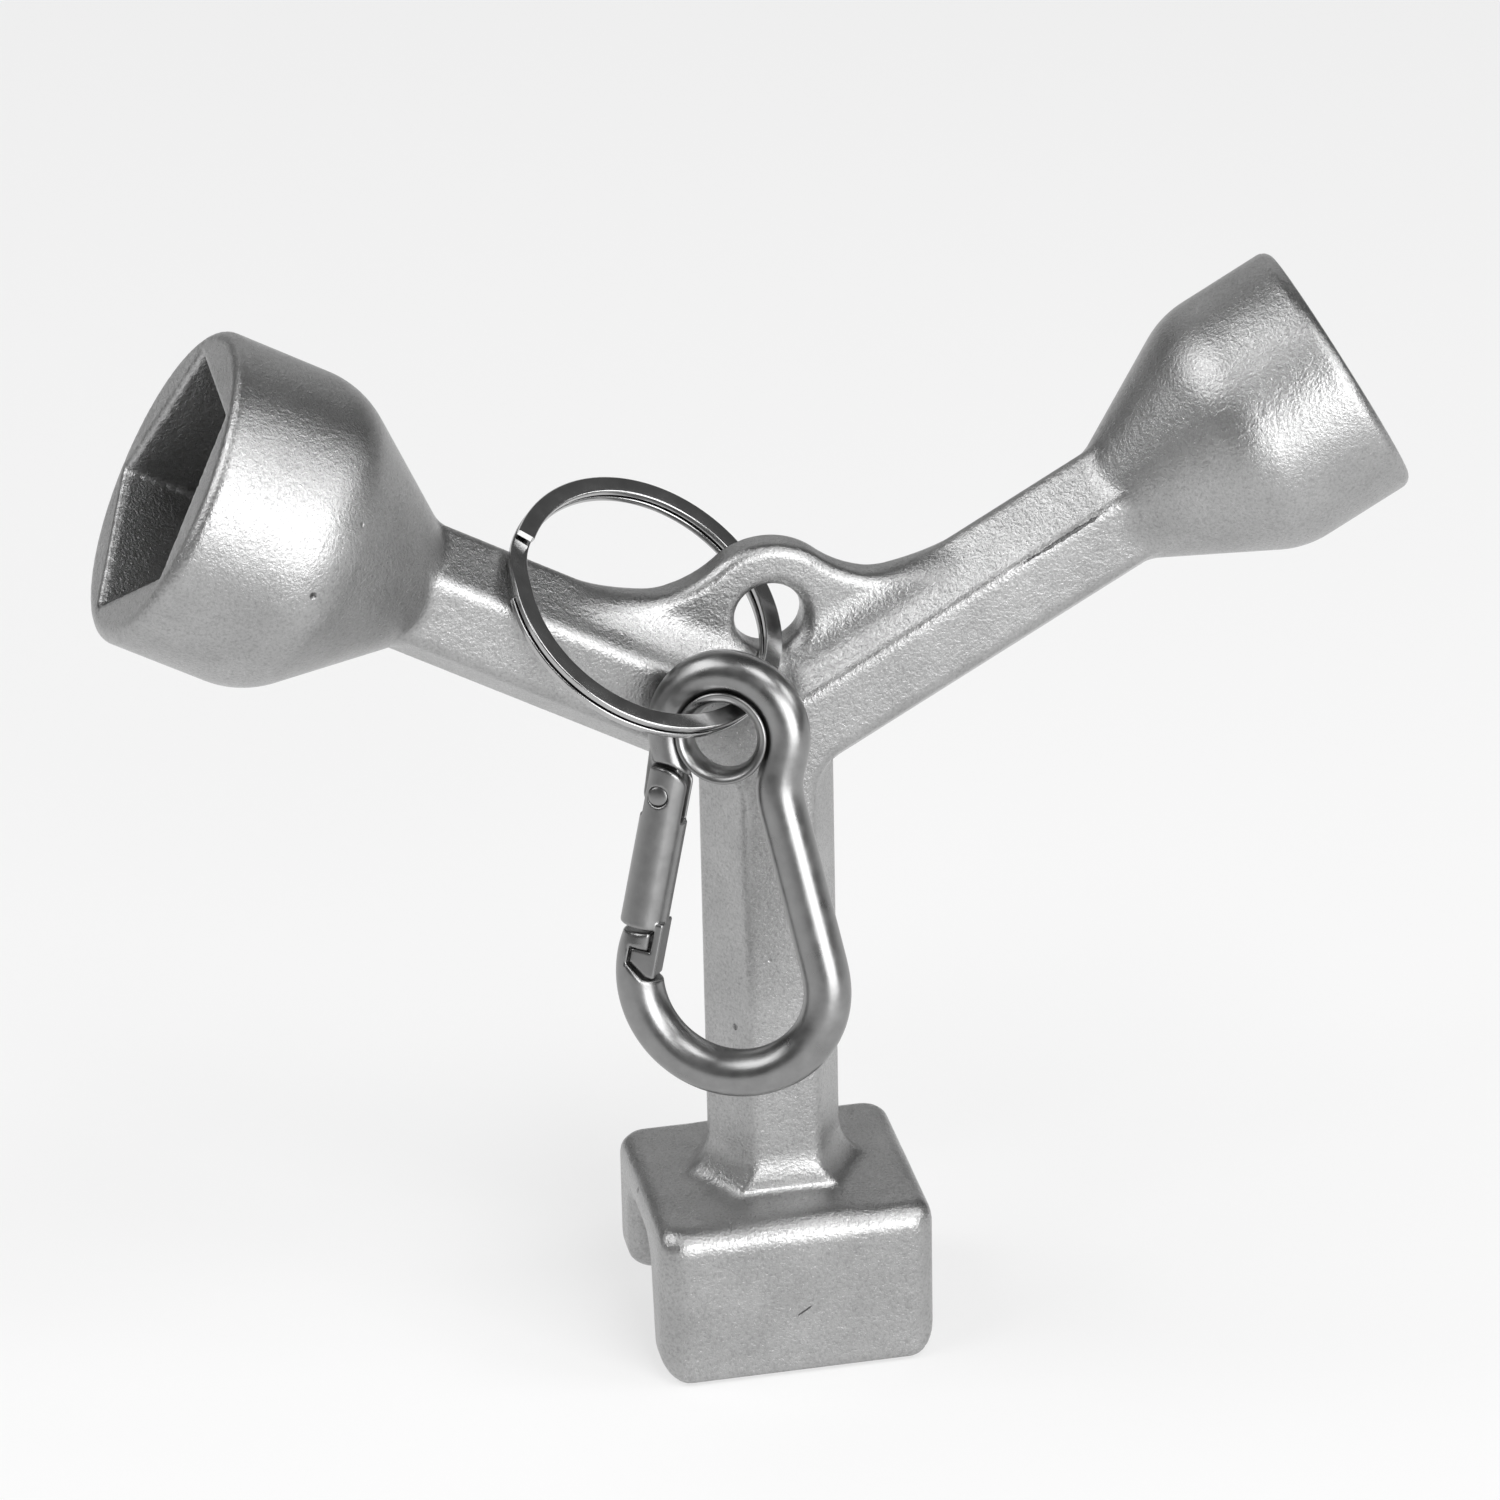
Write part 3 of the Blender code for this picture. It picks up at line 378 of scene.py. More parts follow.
def arms_field(x, y, z):
    """Distance to the three hexagonal arms: a filleted star in front view, hexagonal in section."""
    half = ARM_RADIUS / 2.0
    bars = []
    for heading in (ARM_RISE, math.pi - ARM_RISE, 1.5 * math.pi):
        along = x * math.cos(heading) + z * math.sin(heading)
        across = np.abs(z * math.cos(heading) - x * math.sin(heading)) - half
        ends = {ARM_RISE: SQUARE["reach"], math.pi - ARM_RISE: PENTAGON["reach"]}
        reach = ends.get(heading, HUB_HEIGHT + SOCKET_DEPTH) - SOCKET_DEPTH - ARM_RADIUS
        bars.append(np.maximum(across, np.maximum(-along, along - reach)))
    star = bars[0]
    for bar in bars[1:]:
        star = round_union(star, bar, CROTCH_FILLET)
    arms = hexagon_field(np.maximum(star + half, 0.0), y, ARM_RADIUS, ARM_EDGE)
    sunk = np.clip(HEAD_TOP + FLARE_HEIGHT - HUB_HEIGHT - z, 0.0, FLARE_HEIGHT)
    spread = FLARE_RADIUS - np.sqrt(FLARE_RADIUS ** 2 - sunk ** 2)
    return (arms - spread) * (1.0 - spread / FLARE_RADIUS)


def along_arm(side, x, z):
    """Places along a socket arm and up across it."""
    along = side * x * math.cos(ARM_RISE) + z * math.sin(ARM_RISE)
    across = z * math.cos(ARM_RISE) - side * x * math.sin(ARM_RISE)
    return along, across


def socket_field(socket, x, y, z):
    """Distance to a socket's outside: barrel, round shoulder and a cone that dies into its arm."""
    along, across = along_arm(socket["side"], x, z)
    radius = np.hypot(across, y)
    shoulder_place = socket["reach"] - socket["length"]
    centre = Vector((socket["barrel"] - socket["shoulder"], shoulder_place))
    foot = Vector((ARM_RADIUS, shoulder_place - socket["cone"]))
    reach = centre - foot
    slope = math.atan2(reach.x, reach.y) + math.asin(socket["shoulder"] / reach.length)
    out, up = radius - centre.x, along - centre.y
    cone = out * math.cos(slope) - up * math.sin(slope)
    below = out * math.sin(slope) + up * math.cos(slope) <= 0.0
    outside = np.where(up >= 0.0, out, np.where(below, cone, np.hypot(out, up))) - socket["shoulder"]
    return round_common(outside, along - socket["reach"], RIM_ROUND)


def pentagon_mouth(x, y, z):
    """Distance to the five-sided opening, one corner down."""
    along, across = along_arm(PENTAGON["side"], x, z)
    corner = POINT_TO_FLAT / (1.0 + math.cos(math.pi / 5.0))
    corners = [tuple(p) for p in arc((0.0, 0.0), corner, math.pi, 3.0 * math.pi, 6)[:-1]]
    return np.maximum(polygon_field(across, y, corners), PENTAGON["reach"] - SOCKET_DEPTH - along)


def square_mouth(x, y, z):
    """Distance to the square opening."""
    along, across = along_arm(SQUARE["side"], x, z)
    walls = np.maximum(np.abs(across), np.abs(y)) - ACROSS_FLATS / 2.0
    return np.maximum(walls, SQUARE["reach"] - SOCKET_DEPTH - along)


def web_field(x, y, z):
    """Distance to the web between the socket arms, with its lug."""
    aside, above = np.abs(x - LUG[0]), z - LUG[1]
    lug = np.hypot(aside, above) - LUG_RADIUS
    rise = WEB_TOP + LUG_FILLET - LUG[1]
    run = math.sqrt((LUG_RADIUS + LUG_FILLET) ** 2 - rise ** 2)
    hollow = LUG_FILLET - np.hypot(aside - run, above - rise)
    shelf = np.where(aside < run, hollow, z - WEB_TOP)
    top = np.where(above * run > aside * rise, lug, shelf) - WEB_SWELL
    between = np.abs(x) * math.sin(ARM_RISE) - z * math.cos(ARM_RISE)
    return round_common(np.maximum(top, between), np.abs(y) - WEB_THICKNESS / 2.0, WEB_EDGE)


def head_field(x, y, height):
    """Distance to the U head: a rounded block whose rear leg is the shorter one."""
    side_x = np.abs(x) - HEAD_WIDTH / 2.0
    side_y = np.abs(y) - HEAD_DEPTH / 2.0
    block = round_common(side_x, side_y, HEAD_CORNER)
    dome = HEAD_DOME * (1.0 - np.minimum((2.0 * x / HEAD_WIDTH) ** 2 + (2.0 * y / HEAD_DEPTH) ** 2, 1.0))
    block = round_common(block, height - HEAD_TOP - dome, HEAD_EDGE)
    foot = np.where(y > 0.0, REAR_FOOT, FRONT_FOOT)
    block = round_common(block, round_common(side_x, foot - height, FOOT_CORNER), FOOT_EDGE)
    wall = (np.abs(y) - SLOT_WIDTH / 2.0 + height * math.tan(SLOT_SPLAY)) * math.cos(SLOT_SPLAY)
    slot = round_common(wall, height, SLOT_EDGE)
    return round_cut(block, slot, SLOT_EDGE)


def casting_field(x, y, height):
    """Distance to the whole casting, in the part's own frame."""
    z = height - HUB_HEIGHT
    body = arms_field(x, y, z)
    for socket in (PENTAGON, SQUARE):
        body = round_union(body, socket_field(socket, x, y, z), CONE_FILLET)
    body = round_union(body, web_field(x, y, z), WEB_FILLET)
    hole = np.hypot(x - LUG[0], z - LUG[1]) - LUG_HOLE
    body = round_cut(body, hole, LUG_HOLE_ROUND)
    body = round_cut(body, pentagon_mouth(x, y, z), MOUTH_ROUND)
    body = round_cut(body, square_mouth(x, y, z), MOUTH_ROUND)
    stem_foot = np.maximum(body, HEAD_TOP / 2.0 - height)
    return round_union(stem_foot, head_field(x, y, height), FLARE_FILLET)


# Hook and gate

def hook_frame():
    """The hook's frame: origin in the eye's middle, X to its right, Y up and Z to the front."""
    origin = Vector(JOINTS["hook_turn"]["pos_m"])
    normal = Vector(JOINTS["hook_turn"]["axis"]).normalized()
    to_rivet = Vector(JOINTS["gate_swing"]["pos_m"]) - origin
    turn = math.atan2(RIVET_PLACE.y, RIVET_PLACE.x)
    right = (Matrix.Rotation(-turn, 3, normal) @ to_rivet).normalized()
    axes = Matrix((right, normal.cross(right), normal)).transposed()
    return Matrix.Translation(origin) @ axes.to_4x4()


def tangent_point(start, centre, radius):
    """Where a line from start touches a circle on its right-hand side."""
    reach = start - centre
    lean = math.atan2(reach.y, reach.x) - math.acos(radius / reach.length)
    return centre + radius * Vector((math.cos(lean), math.sin(lean)))


def hook_path():
    """Middle line of the hook's wire, with the wire's radius at each point."""
    path = [RIVET_PLACE + LEG_FOOT]
    radii = [WIRE_RADIUS * LEG_SHARE]
    for number in range(EYE_POINTS + 1):
        angle = EYE_START + (EYE_STOP - EYE_START) * number / EYE_POINTS
        swell = min(1.0, number / (EYE_POINTS * EYE_SWELL))
        wire = WIRE_RADIUS * (LEG_SHARE + (EYE_SHARE - LEG_SHARE) * swell)
        path.append((EYE_INNER + wire) * Vector((math.cos(angle), math.sin(angle))))
        radii.append(wire)
    neck = EYE_INNER + WIRE_RADIUS * EYE_SHARE
    spine_start = neck * Vector((math.cos(SPINE_START), math.sin(SPINE_START)))
    inset = BEND_RADIUS - SPINE_BEND_RADIUS
    spine_bend = BEND_CENTRE + inset * Vector((math.cos(SPINE_BEND_ANGLE), math.sin(SPINE_BEND_ANGLE)))
    spine_end = tangent_point(spine_start, spine_bend, SPINE_BEND_RADIUS)
    path += [spine_start.lerp(spine_end, share) for share in SPINE_POINTS]
    reach = spine_end - spine_bend
    start = math.atan2(reach.y, reach.x)
    nose = -math.pi - math.asin((NOSE_TOP + WIRE_RADIUS - BEND_CENTRE.y) / BEND_RADIUS)
    path += arc(spine_bend, SPINE_BEND_RADIUS, start, SPINE_BEND_ANGLE, SPINE_BEND_POINTS)[1:]
    path += arc(BEND_CENTRE, BEND_RADIUS, SPINE_BEND_ANGLE, nose, BEND_POINTS)[1:]
    radii += [WIRE_RADIUS] * (len(path) - len(radii))
    return eased(np.column_stack([np.array(path), radii]))


def eased(line):
    """A path with its radii at even steps, its kinks eased over a few millimetres."""
    run = np.append(0.0, np.cumsum(np.hypot(*np.diff(line[:, :2], axis=0).T)))
    even = np.arange(0.0, run[-1], PATH_STEP)
    line = np.column_stack([np.interp(even, run, column) for column in line.T])
    span = PATH_SPAN
    before, after = 2.0 * line[:1] - line[span:0:-1], 2.0 * line[-1:] - line[-2:-span - 2:-1]
    padded = np.concatenate([before, line, after])
    for _ in range(PATH_ROUNDS):
        sums = np.cumsum(np.concatenate([np.zeros((1, 3)), padded]), 0)
        soft = (sums[2 * span + 1:] - sums[:-2 * span - 1]) / (2 * span + 1)
        padded[span:-span] = soft
    return padded[span:-span]


def wire_field(x, y, z, line):
    """Distance to a round wire along a flat path of (x, y, radius)."""
    nearest = np.full(np.broadcast(x, y).shape, np.inf)
    radius = np.zeros(nearest.shape)
    for (x0, y0, r0), (x1, y1, r1) in zip(line, line[1:]):
        side_x, side_y = x1 - x0, y1 - y0
        share = ((x - x0) * side_x + (y - y0) * side_y) / (side_x ** 2 + side_y ** 2)
        share = np.clip(share, 0.0, 1.0)
        gap = np.hypot(x - x0 - share * side_x, y - y0 - share * side_y)
        closer = gap < nearest
        nearest = np.where(closer, gap, nearest)
        radius = np.where(closer, r0 + share * (r1 - r0), radius)
    return np.hypot(nearest, z) - radius


def gate_turn(x, y):
    """Places in the gate's frame: origin on the rivet, Y up along the gate."""
    x, y = x - RIVET_PLACE.x, y - RIVET_PLACE.y
    cosine, sine = math.cos(GATE_LEAN), math.sin(GATE_LEAN)
    return x * cosine - y * sine, x * sine + y * cosine


def latch_corners(grow, way=0.0):
    """The latch in the gate's frame: a thin stem with a barb, grown by a clearance and a way inwards."""
    inner = GATE_OFFSET + GATE_RADIUS
    side = inner + grow + way
    foot = -GATE_REACH - LATCH_DROP
    barb_top = foot + BARB_HEIGHT
    tip, stem = inner - BARB_WIDTH, inner - LATCH_STEM
    top = -GATE_REACH + LATCH_STEM
    return [
        (side, top), (side, foot - grow), (stem - grow, foot - grow),
        (tip - grow, barb_top - BARB_TIP - grow), (tip - grow, barb_top + grow),
        (stem - grow, barb_top + grow), (stem - grow, top),
    ]


def hook_field(x, y, z):
    """Distance to the hook: wire, hinge tongue, heel, rivet hole and the notch in its nose."""
    body = wire_field(x, y, z, hook_path())
    gate_x, gate_y = gate_turn(x, y)
    hinge = np.hypot(gate_x, gate_y)
    body = round_cut(body, hinge - CHEEK_RADIUS - CLEARANCE, HOOK_EDGE)
    eye = EYE_INNER + WIRE_RADIUS * LEG_SHARE
    leg, root = eye * Vector((math.cos(EYE_START), math.sin(EYE_START))), RIVET_PLACE
    side = leg - root
    share = np.clip(((x - root.x) * side.x + (y - root.y) * side.y) / side.length_squared, 0.0, 1.0)
    tongue = np.hypot(x - root.x - share * side.x, y - root.y - share * side.y)
    tongue = tongue - TONGUE_RADIUS * (1.0 - TONGUE_TAPER * share)
    heel_reach = TONGUE_RADIUS / 2.0 + TONGUE_HEEL
    heel = np.hypot(gate_x - heel_reach * math.cos(HEEL_ANGLE), gate_y - heel_reach * math.sin(HEEL_ANGLE))
    tongue = np.minimum(tongue, heel - TONGUE_RADIUS / 2.0)
    thick = np.abs(z) - CHEEK_SLOT / 2.0 + CLEARANCE
    body = np.minimum(body, round_common(tongue, thick, HOOK_EDGE))
    body = np.maximum(body, RIVET_RADIUS + CLEARANCE - hinge)
    trim_x = np.abs(x - BEND_CENTRE.x + BEND_RADIUS)
    trim_y = np.abs(y - NOSE_TOP - WIRE_RADIUS) + WIRE_RADIUS
    body = round_cut(body, np.maximum(trim_x, trim_y) - 2.0 * WIRE_RADIUS, HOOK_EDGE)
    notch = polygon_field(gate_x, gate_y, latch_corners(LATCH_GAP, 2.0 * WIRE_RADIUS))
    return round_cut(body, notch, HOOK_EDGE)


def gate_field(x, y, z):
    """Distance to the gate, in its own frame: a slotted round bar with a barbed latch."""
    bar = np.hypot(x - GATE_OFFSET, z) - GATE_RADIUS
    end = np.where(y > 0.0, np.hypot(x, y), np.abs(x)) - CHEEK_RADIUS
    bar = round_common(bar, end, GATE_EDGE)
    bar = round_common(bar, -GATE_REACH - y, GATE_EDGE)
    latch = polygon_field(x, y, latch_corners(0.0))
    latch = round_common(latch, np.abs(z) - LATCH_THICKNESS / 2.0, GATE_EDGE)
    body = np.minimum(bar, latch)
    seat = TONGUE_RADIUS + TONGUE_HEEL + CLEARANCE
    body = round_cut(body, np.maximum(np.abs(z) - CHEEK_SLOT / 2.0, -seat - y), GATE_EDGE)
    bore = np.maximum(np.hypot(x - GATE_OFFSET, z) - GATE_BORE, np.maximum(-GATE_BORE_DEPTH - y, y))
    body = np.maximum(body, -bore)
    return round_cut(body, np.hypot(x, y) - RIVET_RADIUS - RIVET_GAP, RIVET_HOLE_EDGE)


def gate_frame():
    """The gate's frame in the part's frame."""
    place = Matrix.Translation((RIVET_PLACE.x, RIVET_PLACE.y, 0.0))
    return hook_frame() @ place @ Matrix.Rotation(-GATE_LEAN, 4, "Z")


def turned_mesh(name, profile, place, steps):
    """A mesh turned about Z from a profile of (radius, height), closed by its axis or by itself."""
    work = bmesh.new()
    verts = [work.verts.new((radius, 0.0, height)) for radius, height in profile]
    edges = [work.edges.new(pair) for pair in zip(verts, verts[1:])]
    if profile[0][0] > 0.0:
        edges.append(work.edges.new((verts[-1], verts[0])))
    bmesh.ops.spin(work, geom=verts + edges, axis=(0.0, 0.0, 1.0), cent=(0.0, 0.0, 0.0),
                   dvec=(0.0, 0.0, 0.0), angle=2.0 * math.pi, steps=steps)
    mesh = bpy.data.meshes.new(name)
    work.to_mesh(mesh)
    work.free()
    clean(mesh)
    mesh.transform(place)
    mesh.shade_smooth()
    mesh.set_sharp_from_angle(angle=TURNED_SHARP)
    return mesh


def eyelet_profile():
    """The eyelet's section: a trumpet bore with rolled lips and a groove for the wire outside."""
    half = EYELET_LENGTH / 2.0
    lip = EYELET_LIP
    flare = EYELET_FLANGE - lip - EYELET_BORE
    turns = np.linspace(-math.pi / 2.0, math.pi / 2.0, BORE_POINTS)
    bore = [(EYELET_BORE + flare * (1.0 - math.cos(turn)), half * math.sin(turn)) for turn in turns]
    wire = WIRE_RADIUS * EYE_SHARE
    middle, groove_radius = EYE_INNER + wire, wire + CLEARANCE
    reach = math.sqrt(groove_radius ** 2 - (middle - EYELET_FLANGE + lip / 2.0) ** 2)
    heights = np.linspace(reach, -reach, GROOVE_POINTS)
    groove = [(middle - math.sqrt(groove_radius ** 2 - h ** 2), h) for h in heights]
    lip_centre = (EYELET_FLANGE - lip, half - lip)
    upper = [tuple(p) for p in arc(lip_centre, lip, math.pi / 2.0, 0.0, LIP_POINTS)]
    lower = [(r, -h) for r, h in reversed(upper)]
    return bore[:-1] + upper + groove + lower


def dome_profile(radius, top, drop, stop):
    """A domed end, from its middle out to an angle of the dome."""
    turns = np.linspace(0.0, stop, DOME_POINTS)
    return [(radius * math.sin(turn), top - drop * (1.0 - math.cos(turn))) for turn in turns]


def rivet_profile():
    """The rivet: a pin with two slightly domed ends."""
    dome = dome_profile(RIVET_RADIUS, RIVET_LENGTH / 2.0, RIVET_DOME, RIVET_DOME_END)
    return dome + [(r, -h) for r, h in reversed(dome)]


def plunger_profile():
    """The gate's plunger: a short pin with a domed nose."""
    radius = GATE_BORE - CLEARANCE
    nose = dome_profile(radius, PLUNGER_LENGTH, PLUNGER_DOME, PLUNGER_DOME_END)
    return nose + [(radius, PLUNGER_BEVEL), (radius - PLUNGER_BEVEL, 0.0), (0.0, 0.0)]


def plunger_top():
    """Height of the plunger's nose in the gate's frame."""
    heel_drop = TONGUE_RADIUS / 2.0 - (TONGUE_RADIUS / 2.0 + TONGUE_HEEL) * math.sin(HEEL_ANGLE)
    return -max(TONGUE_RADIUS, heel_drop) - CLEARANCE


def along_gate(bottom):
    """Places a piece made along Z on the gate's own axis, its foot at the given height."""
    place = Matrix.Translation((GATE_OFFSET, bottom, 0.0))
    return gate_frame() @ place @ Matrix.Rotation(-math.pi / 2.0, 4, "X")


# Swept pieces by Geometry Nodes

def sweep_tree(name, inputs):
    """An empty node tree with a geometry input, named sizes and a geometry output."""
    tree = bpy.data.node_groups.new(name, "GeometryNodeTree")
    tree.interface.new_socket("Geometry", in_out="INPUT", socket_type="NodeSocketGeometry")
    for label, value in inputs.items():
        socket = tree.interface.new_socket(label, in_out="INPUT", socket_type="NodeSocketFloat")
        socket.default_value = value
    tree.interface.new_socket("Material", in_out="INPUT", socket_type="NodeSocketMaterial")
    tree.interface.new_socket("Geometry", in_out="OUTPUT", socket_type="NodeSocketGeometry")
    return tree


def finish_sweep(tree, path, profile, source):
    """Sweeps the profile along the path, realizes it and sets its material."""
    add, link = tree.nodes.new, tree.links.new
    sweep = add("GeometryNodeCurveToMesh")
    sweep.inputs["Fill Caps"].default_value = True
    link(path, sweep.inputs["Curve"])
    link(profile, sweep.inputs["Profile Curve"])
    smooth = add("GeometryNodeSetShadeSmooth")
    link(sweep.outputs["Mesh"], smooth.inputs["Geometry"])
    real = add("GeometryNodeRealizeInstances")
    link(smooth.outputs["Geometry"], real.inputs["Geometry"])
    paint = add("GeometryNodeSetMaterial")
    link(real.outputs["Geometry"], paint.inputs["Geometry"])
    link(source.outputs["Material"], paint.inputs["Material"])
    sink = add("NodeGroupOutput")
    link(paint.outputs["Geometry"], sink.inputs["Geometry"])


def strip_tree():
    """Sweeps a flat strip with rounded edges along a path, its flat side square to Z."""
    tree = sweep_tree("rolled_strip", {"Strip Width": STRIP_WIDTH, "Strip Thickness": STRIP_THICKNESS,
                                       "Edge Round": STRIP_EDGE})
    add, link = tree.nodes.new, tree.links.new
    source = add("NodeGroupInput")
    section = add("GeometryNodeCurvePrimitiveQuadrilateral")
    link(source.outputs["Strip Width"], section.inputs["Width"])
    link(source.outputs["Strip Thickness"], section.inputs["Height"])
    rounded = add("GeometryNodeFilletCurve")
    rounded.mode = "POLY"
    rounded.inputs["Count"].default_value = STRIP_EDGE_POINTS
    link(section.outputs["Curve"], rounded.inputs["Curve"])
    link(source.outputs["Edge Round"], rounded.inputs["Radius"])
    upright = add("GeometryNodeSetCurveNormal")
    upright.mode = "Z_UP"
    link(source.outputs["Geometry"], upright.inputs["Curve"])
    finish_sweep(tree, upright.outputs["Curve"], rounded.outputs["Curve"], source)
    return tree


def coil_tree(turns, radius, height):
    """A coil spring of round wire, wound by a Spiral along Z."""
    tree = sweep_tree("coil_spring", {"Turns": turns, "Coil Radius": radius, "Coil Height": height,
                                      "Wire Radius": SPRING_WIRE})
    add, link = tree.nodes.new, tree.links.new
    source = add("NodeGroupInput")
    spiral = add("GeometryNodeCurveSpiral")
    spiral.inputs["Resolution"].default_value = COIL_POINTS
    link(source.outputs["Turns"], spiral.inputs["Rotations"])
    for end in ("Start Radius", "End Radius"):
        link(source.outputs["Coil Radius"], spiral.inputs[end])
    link(source.outputs["Coil Height"], spiral.inputs["Height"])
    wire = add("GeometryNodeCurvePrimitiveCircle")
    wire.inputs["Resolution"].default_value = SPRING_WIRE_POINTS
    link(source.outputs["Wire Radius"], wire.inputs["Radius"])
    finish_sweep(tree, spiral.outputs["Curve"], wire.outputs["Curve"], source)
    return tree


def swept_mesh(name, data, tree, material, place):
    """Runs a sweep on a maker object and keeps the plain mesh, put in its place."""
    maker = bpy.data.objects.new(name + "_maker", data)
    bpy.context.scene.collection.objects.link(maker)
    sweep = maker.modifiers.new("sweep", "NODES")
    sweep.node_group = tree
    for socket in tree.interface.items_tree:
        if socket.name == "Material":
            sweep[socket.identifier] = material
    graph = bpy.context.evaluated_depsgraph_get()
    mesh = bpy.data.meshes.new_from_object(maker.evaluated_get(graph))
    bpy.data.objects.remove(maker)
    mesh.name = name
    mesh.transform(place)
    clean(mesh)
    mesh.shade_smooth()
    mesh.set_sharp_from_angle(angle=SWEPT_SHARP)
    return mesh


def ring_path():
    """The strip's middle line: two turns that climb a layer in one short jog."""
    climb = STRIP_THICKNESS + STRIP_GAP
    span = 4.0 * math.pi - RING_JOG
    path = bpy.data.curves.new("strip_path", "CURVE")
    path.dimensions = "3D"
    line = path.splines.new("POLY")
    line.points.add(RING_POINTS)
    for number, point in enumerate(line.points):
        turned = span * number / RING_POINTS
        share = min(1.0, max(0.0, (turned - 2.0 * math.pi + RING_JOG) / RING_JOG))
        height = climb * (share * share * (3.0 - 2.0 * share) - 0.5)
        angle = RING_JOG_PLACE + turned
        point.co = (RING_RADIUS * math.cos(angle), RING_RADIUS * math.sin(angle), height, 1.0)
    return path


def ring_frame():
    """The ring's frame: origin in its middle, X towards the lug and Z along its axis."""
    pivot = Vector(JOINTS["ring_swing"]["pos_m"])
    x_axis = (RING_TO_LUG - RING_TO_LUG.dot(RING_NORMAL) * RING_NORMAL).normalized()
    axes = Matrix((x_axis, RING_NORMAL.cross(x_axis), RING_NORMAL)).transposed()
    return Matrix.Translation(pivot - RING_RADIUS * x_axis) @ axes.to_4x4()


# Finishes

def new_finish(name):
    """A material with its node tree, shader and Object coordinates."""
    material = bpy.data.materials.new(name)
    material.use_nodes = True
    nodes = material.node_tree.nodes
    shader = nodes["Principled BSDF"]
    shader.inputs["Metallic"].default_value = 1.0
    place = nodes.new("ShaderNodeTexCoord").outputs["Object"]
    return material, shader, place


def noise(material, place, scale, detail=2.0, roughness=0.5):
    """A noise value on the given coordinates."""
    node = material.node_tree.nodes.new("ShaderNodeTexNoise")
    node.inputs["Scale"].default_value = scale
    node.inputs["Detail"].default_value = detail
    node.inputs["Roughness"].default_value = roughness
    material.node_tree.links.new(place, node.inputs["Vector"])
    return node.outputs["Fac"]


def ramp(material, value, stops):
    """A colour ramp over a value; stops are (place, grey)."""
    node = material.node_tree.nodes.new("ShaderNodeValToRGB")
    material.node_tree.links.new(value, node.inputs["Fac"])
    marks = node.color_ramp.elements
    while len(marks) < len(stops):
        marks.new(0.5)
    for mark, (place, grey) in zip(marks, stops):
        mark.position = place
        mark.color = (grey, grey, grey, 1.0)
    return node.outputs["Color"]


def bump(material, height, distance, strength, under=None):
    """A bump over an earlier one."""
    node = material.node_tree.nodes.new("ShaderNodeBump")
    node.inputs["Strength"].default_value = strength
    node.inputs["Distance"].default_value = distance
    material.node_tree.links.new(height, node.inputs["Height"])
    if under is not None:
        material.node_tree.links.new(under, node.inputs["Normal"])
    return node.outputs["Normal"]


def tinted(material, first, second):
    """Two colours multiplied."""
    node = material.node_tree.nodes.new("ShaderNodeMix")
    node.data_type = "RGBA"
    node.blend_type = "MULTIPLY"
    node.inputs["Factor"].default_value = 1.0
    material.node_tree.links.new(first, node.inputs["A"])
    material.node_tree.links.new(second, node.inputs["B"])
    return node.outputs["Result"]


def pits(material, place):
    """Small pits, 0 in their middles and 1 on sound metal, thinly scattered."""
    node = material.node_tree.nodes.new("ShaderNodeTexVoronoi")
    node.inputs["Scale"].default_value = PIT_SPREAD
    material.node_tree.links.new(place, node.inputs["Vector"])
    return ramp(material, node.outputs["Distance"], PIT_EDGE)


def gouge(material, place, middle, lean, size):
    """A broken groove in the front of the casting, 0 in its middle and 1 on sound metal."""
    nodes, link = material.node_tree.nodes, material.node_tree.links.new
    local = nodes.new("ShaderNodeMapping")
    local.vector_type = "TEXTURE"
    local.inputs["Location"].default_value = middle
    local.inputs["Rotation"].default_value = (0.0, -lean, 0.0)
    local.inputs["Scale"].default_value = size
    link(place, local.inputs["Vector"])
    reach = nodes.new("ShaderNodeVectorMath")
    reach.operation = "LENGTH"
    link(local.outputs["Vector"], reach.inputs[0])
    rough_edge = nodes.new("ShaderNodeMath")
    rough_edge.operation = "ADD"
    link(reach.outputs["Value"], rough_edge.inputs[0])
    link(noise(material, place, GOUGE_SCALE), rough_edge.inputs[1])
    return ramp(material, rough_edge.outputs["Value"], GOUGE_EDGE)


def cast_finish():
    """Bead-blasted cast stainless steel: sandy grain, a few pits, a crack and a scratch, the three flaws
    darkened in colour as painted shade in their hollows.
    """
    material, shader, place = new_finish("blasted_cast_steel")
    link = material.node_tree.links.new
    cloud = noise(material, place, CLOUD_SCALE, 4.0, 0.6)
    grain = noise(material, place, GRAIN_SCALE, 3.0, 0.7)
    crack = gouge(material, place, CRACK_MIDDLE, ARM_RISE, CRACK_SIZE)
    scratch = gouge(material, place, SCRATCH_MIDDLE, SCRATCH_LEAN, SCRATCH_SIZE)
    flaws = tinted(material, pits(material, place), tinted(material, crack, scratch))
    shade = ramp(material, cloud, CAST_GREYS)
    specks = ramp(material, grain, CAST_SPECKS)
    # The flaws' dents are real and come from the bump below; their darker colour is painted shade in the
    # hollows
    flaw_painted_shade = ramp(material, flaws, ((0.0, FLAW_SHADE_GREY), (1.0, 1.0)))
    link(tinted(material, tinted(material, shade, specks), flaw_painted_shade), shader.inputs["Base Color"])
    link(ramp(material, grain, CAST_ROUGHNESS), shader.inputs["Roughness"])
    waves = bump(material, noise(material, place, WAVE_SCALE, 3.0), WAVE_HEIGHT, WAVE_STRENGTH)
    folds = noise(material, place, WRINKLE_SCALE)
    wrinkles = bump(material, folds, WRINKLE_HEIGHT, WRINKLE_STRENGTH, waves)
    sandy = bump(material, grain, GRAIN_HEIGHT, GRAIN_STRENGTH, wrinkles)
    link(bump(material, flaws, FLAW_DEPTH, 1.0, sandy), shader.inputs["Normal"])
    return material


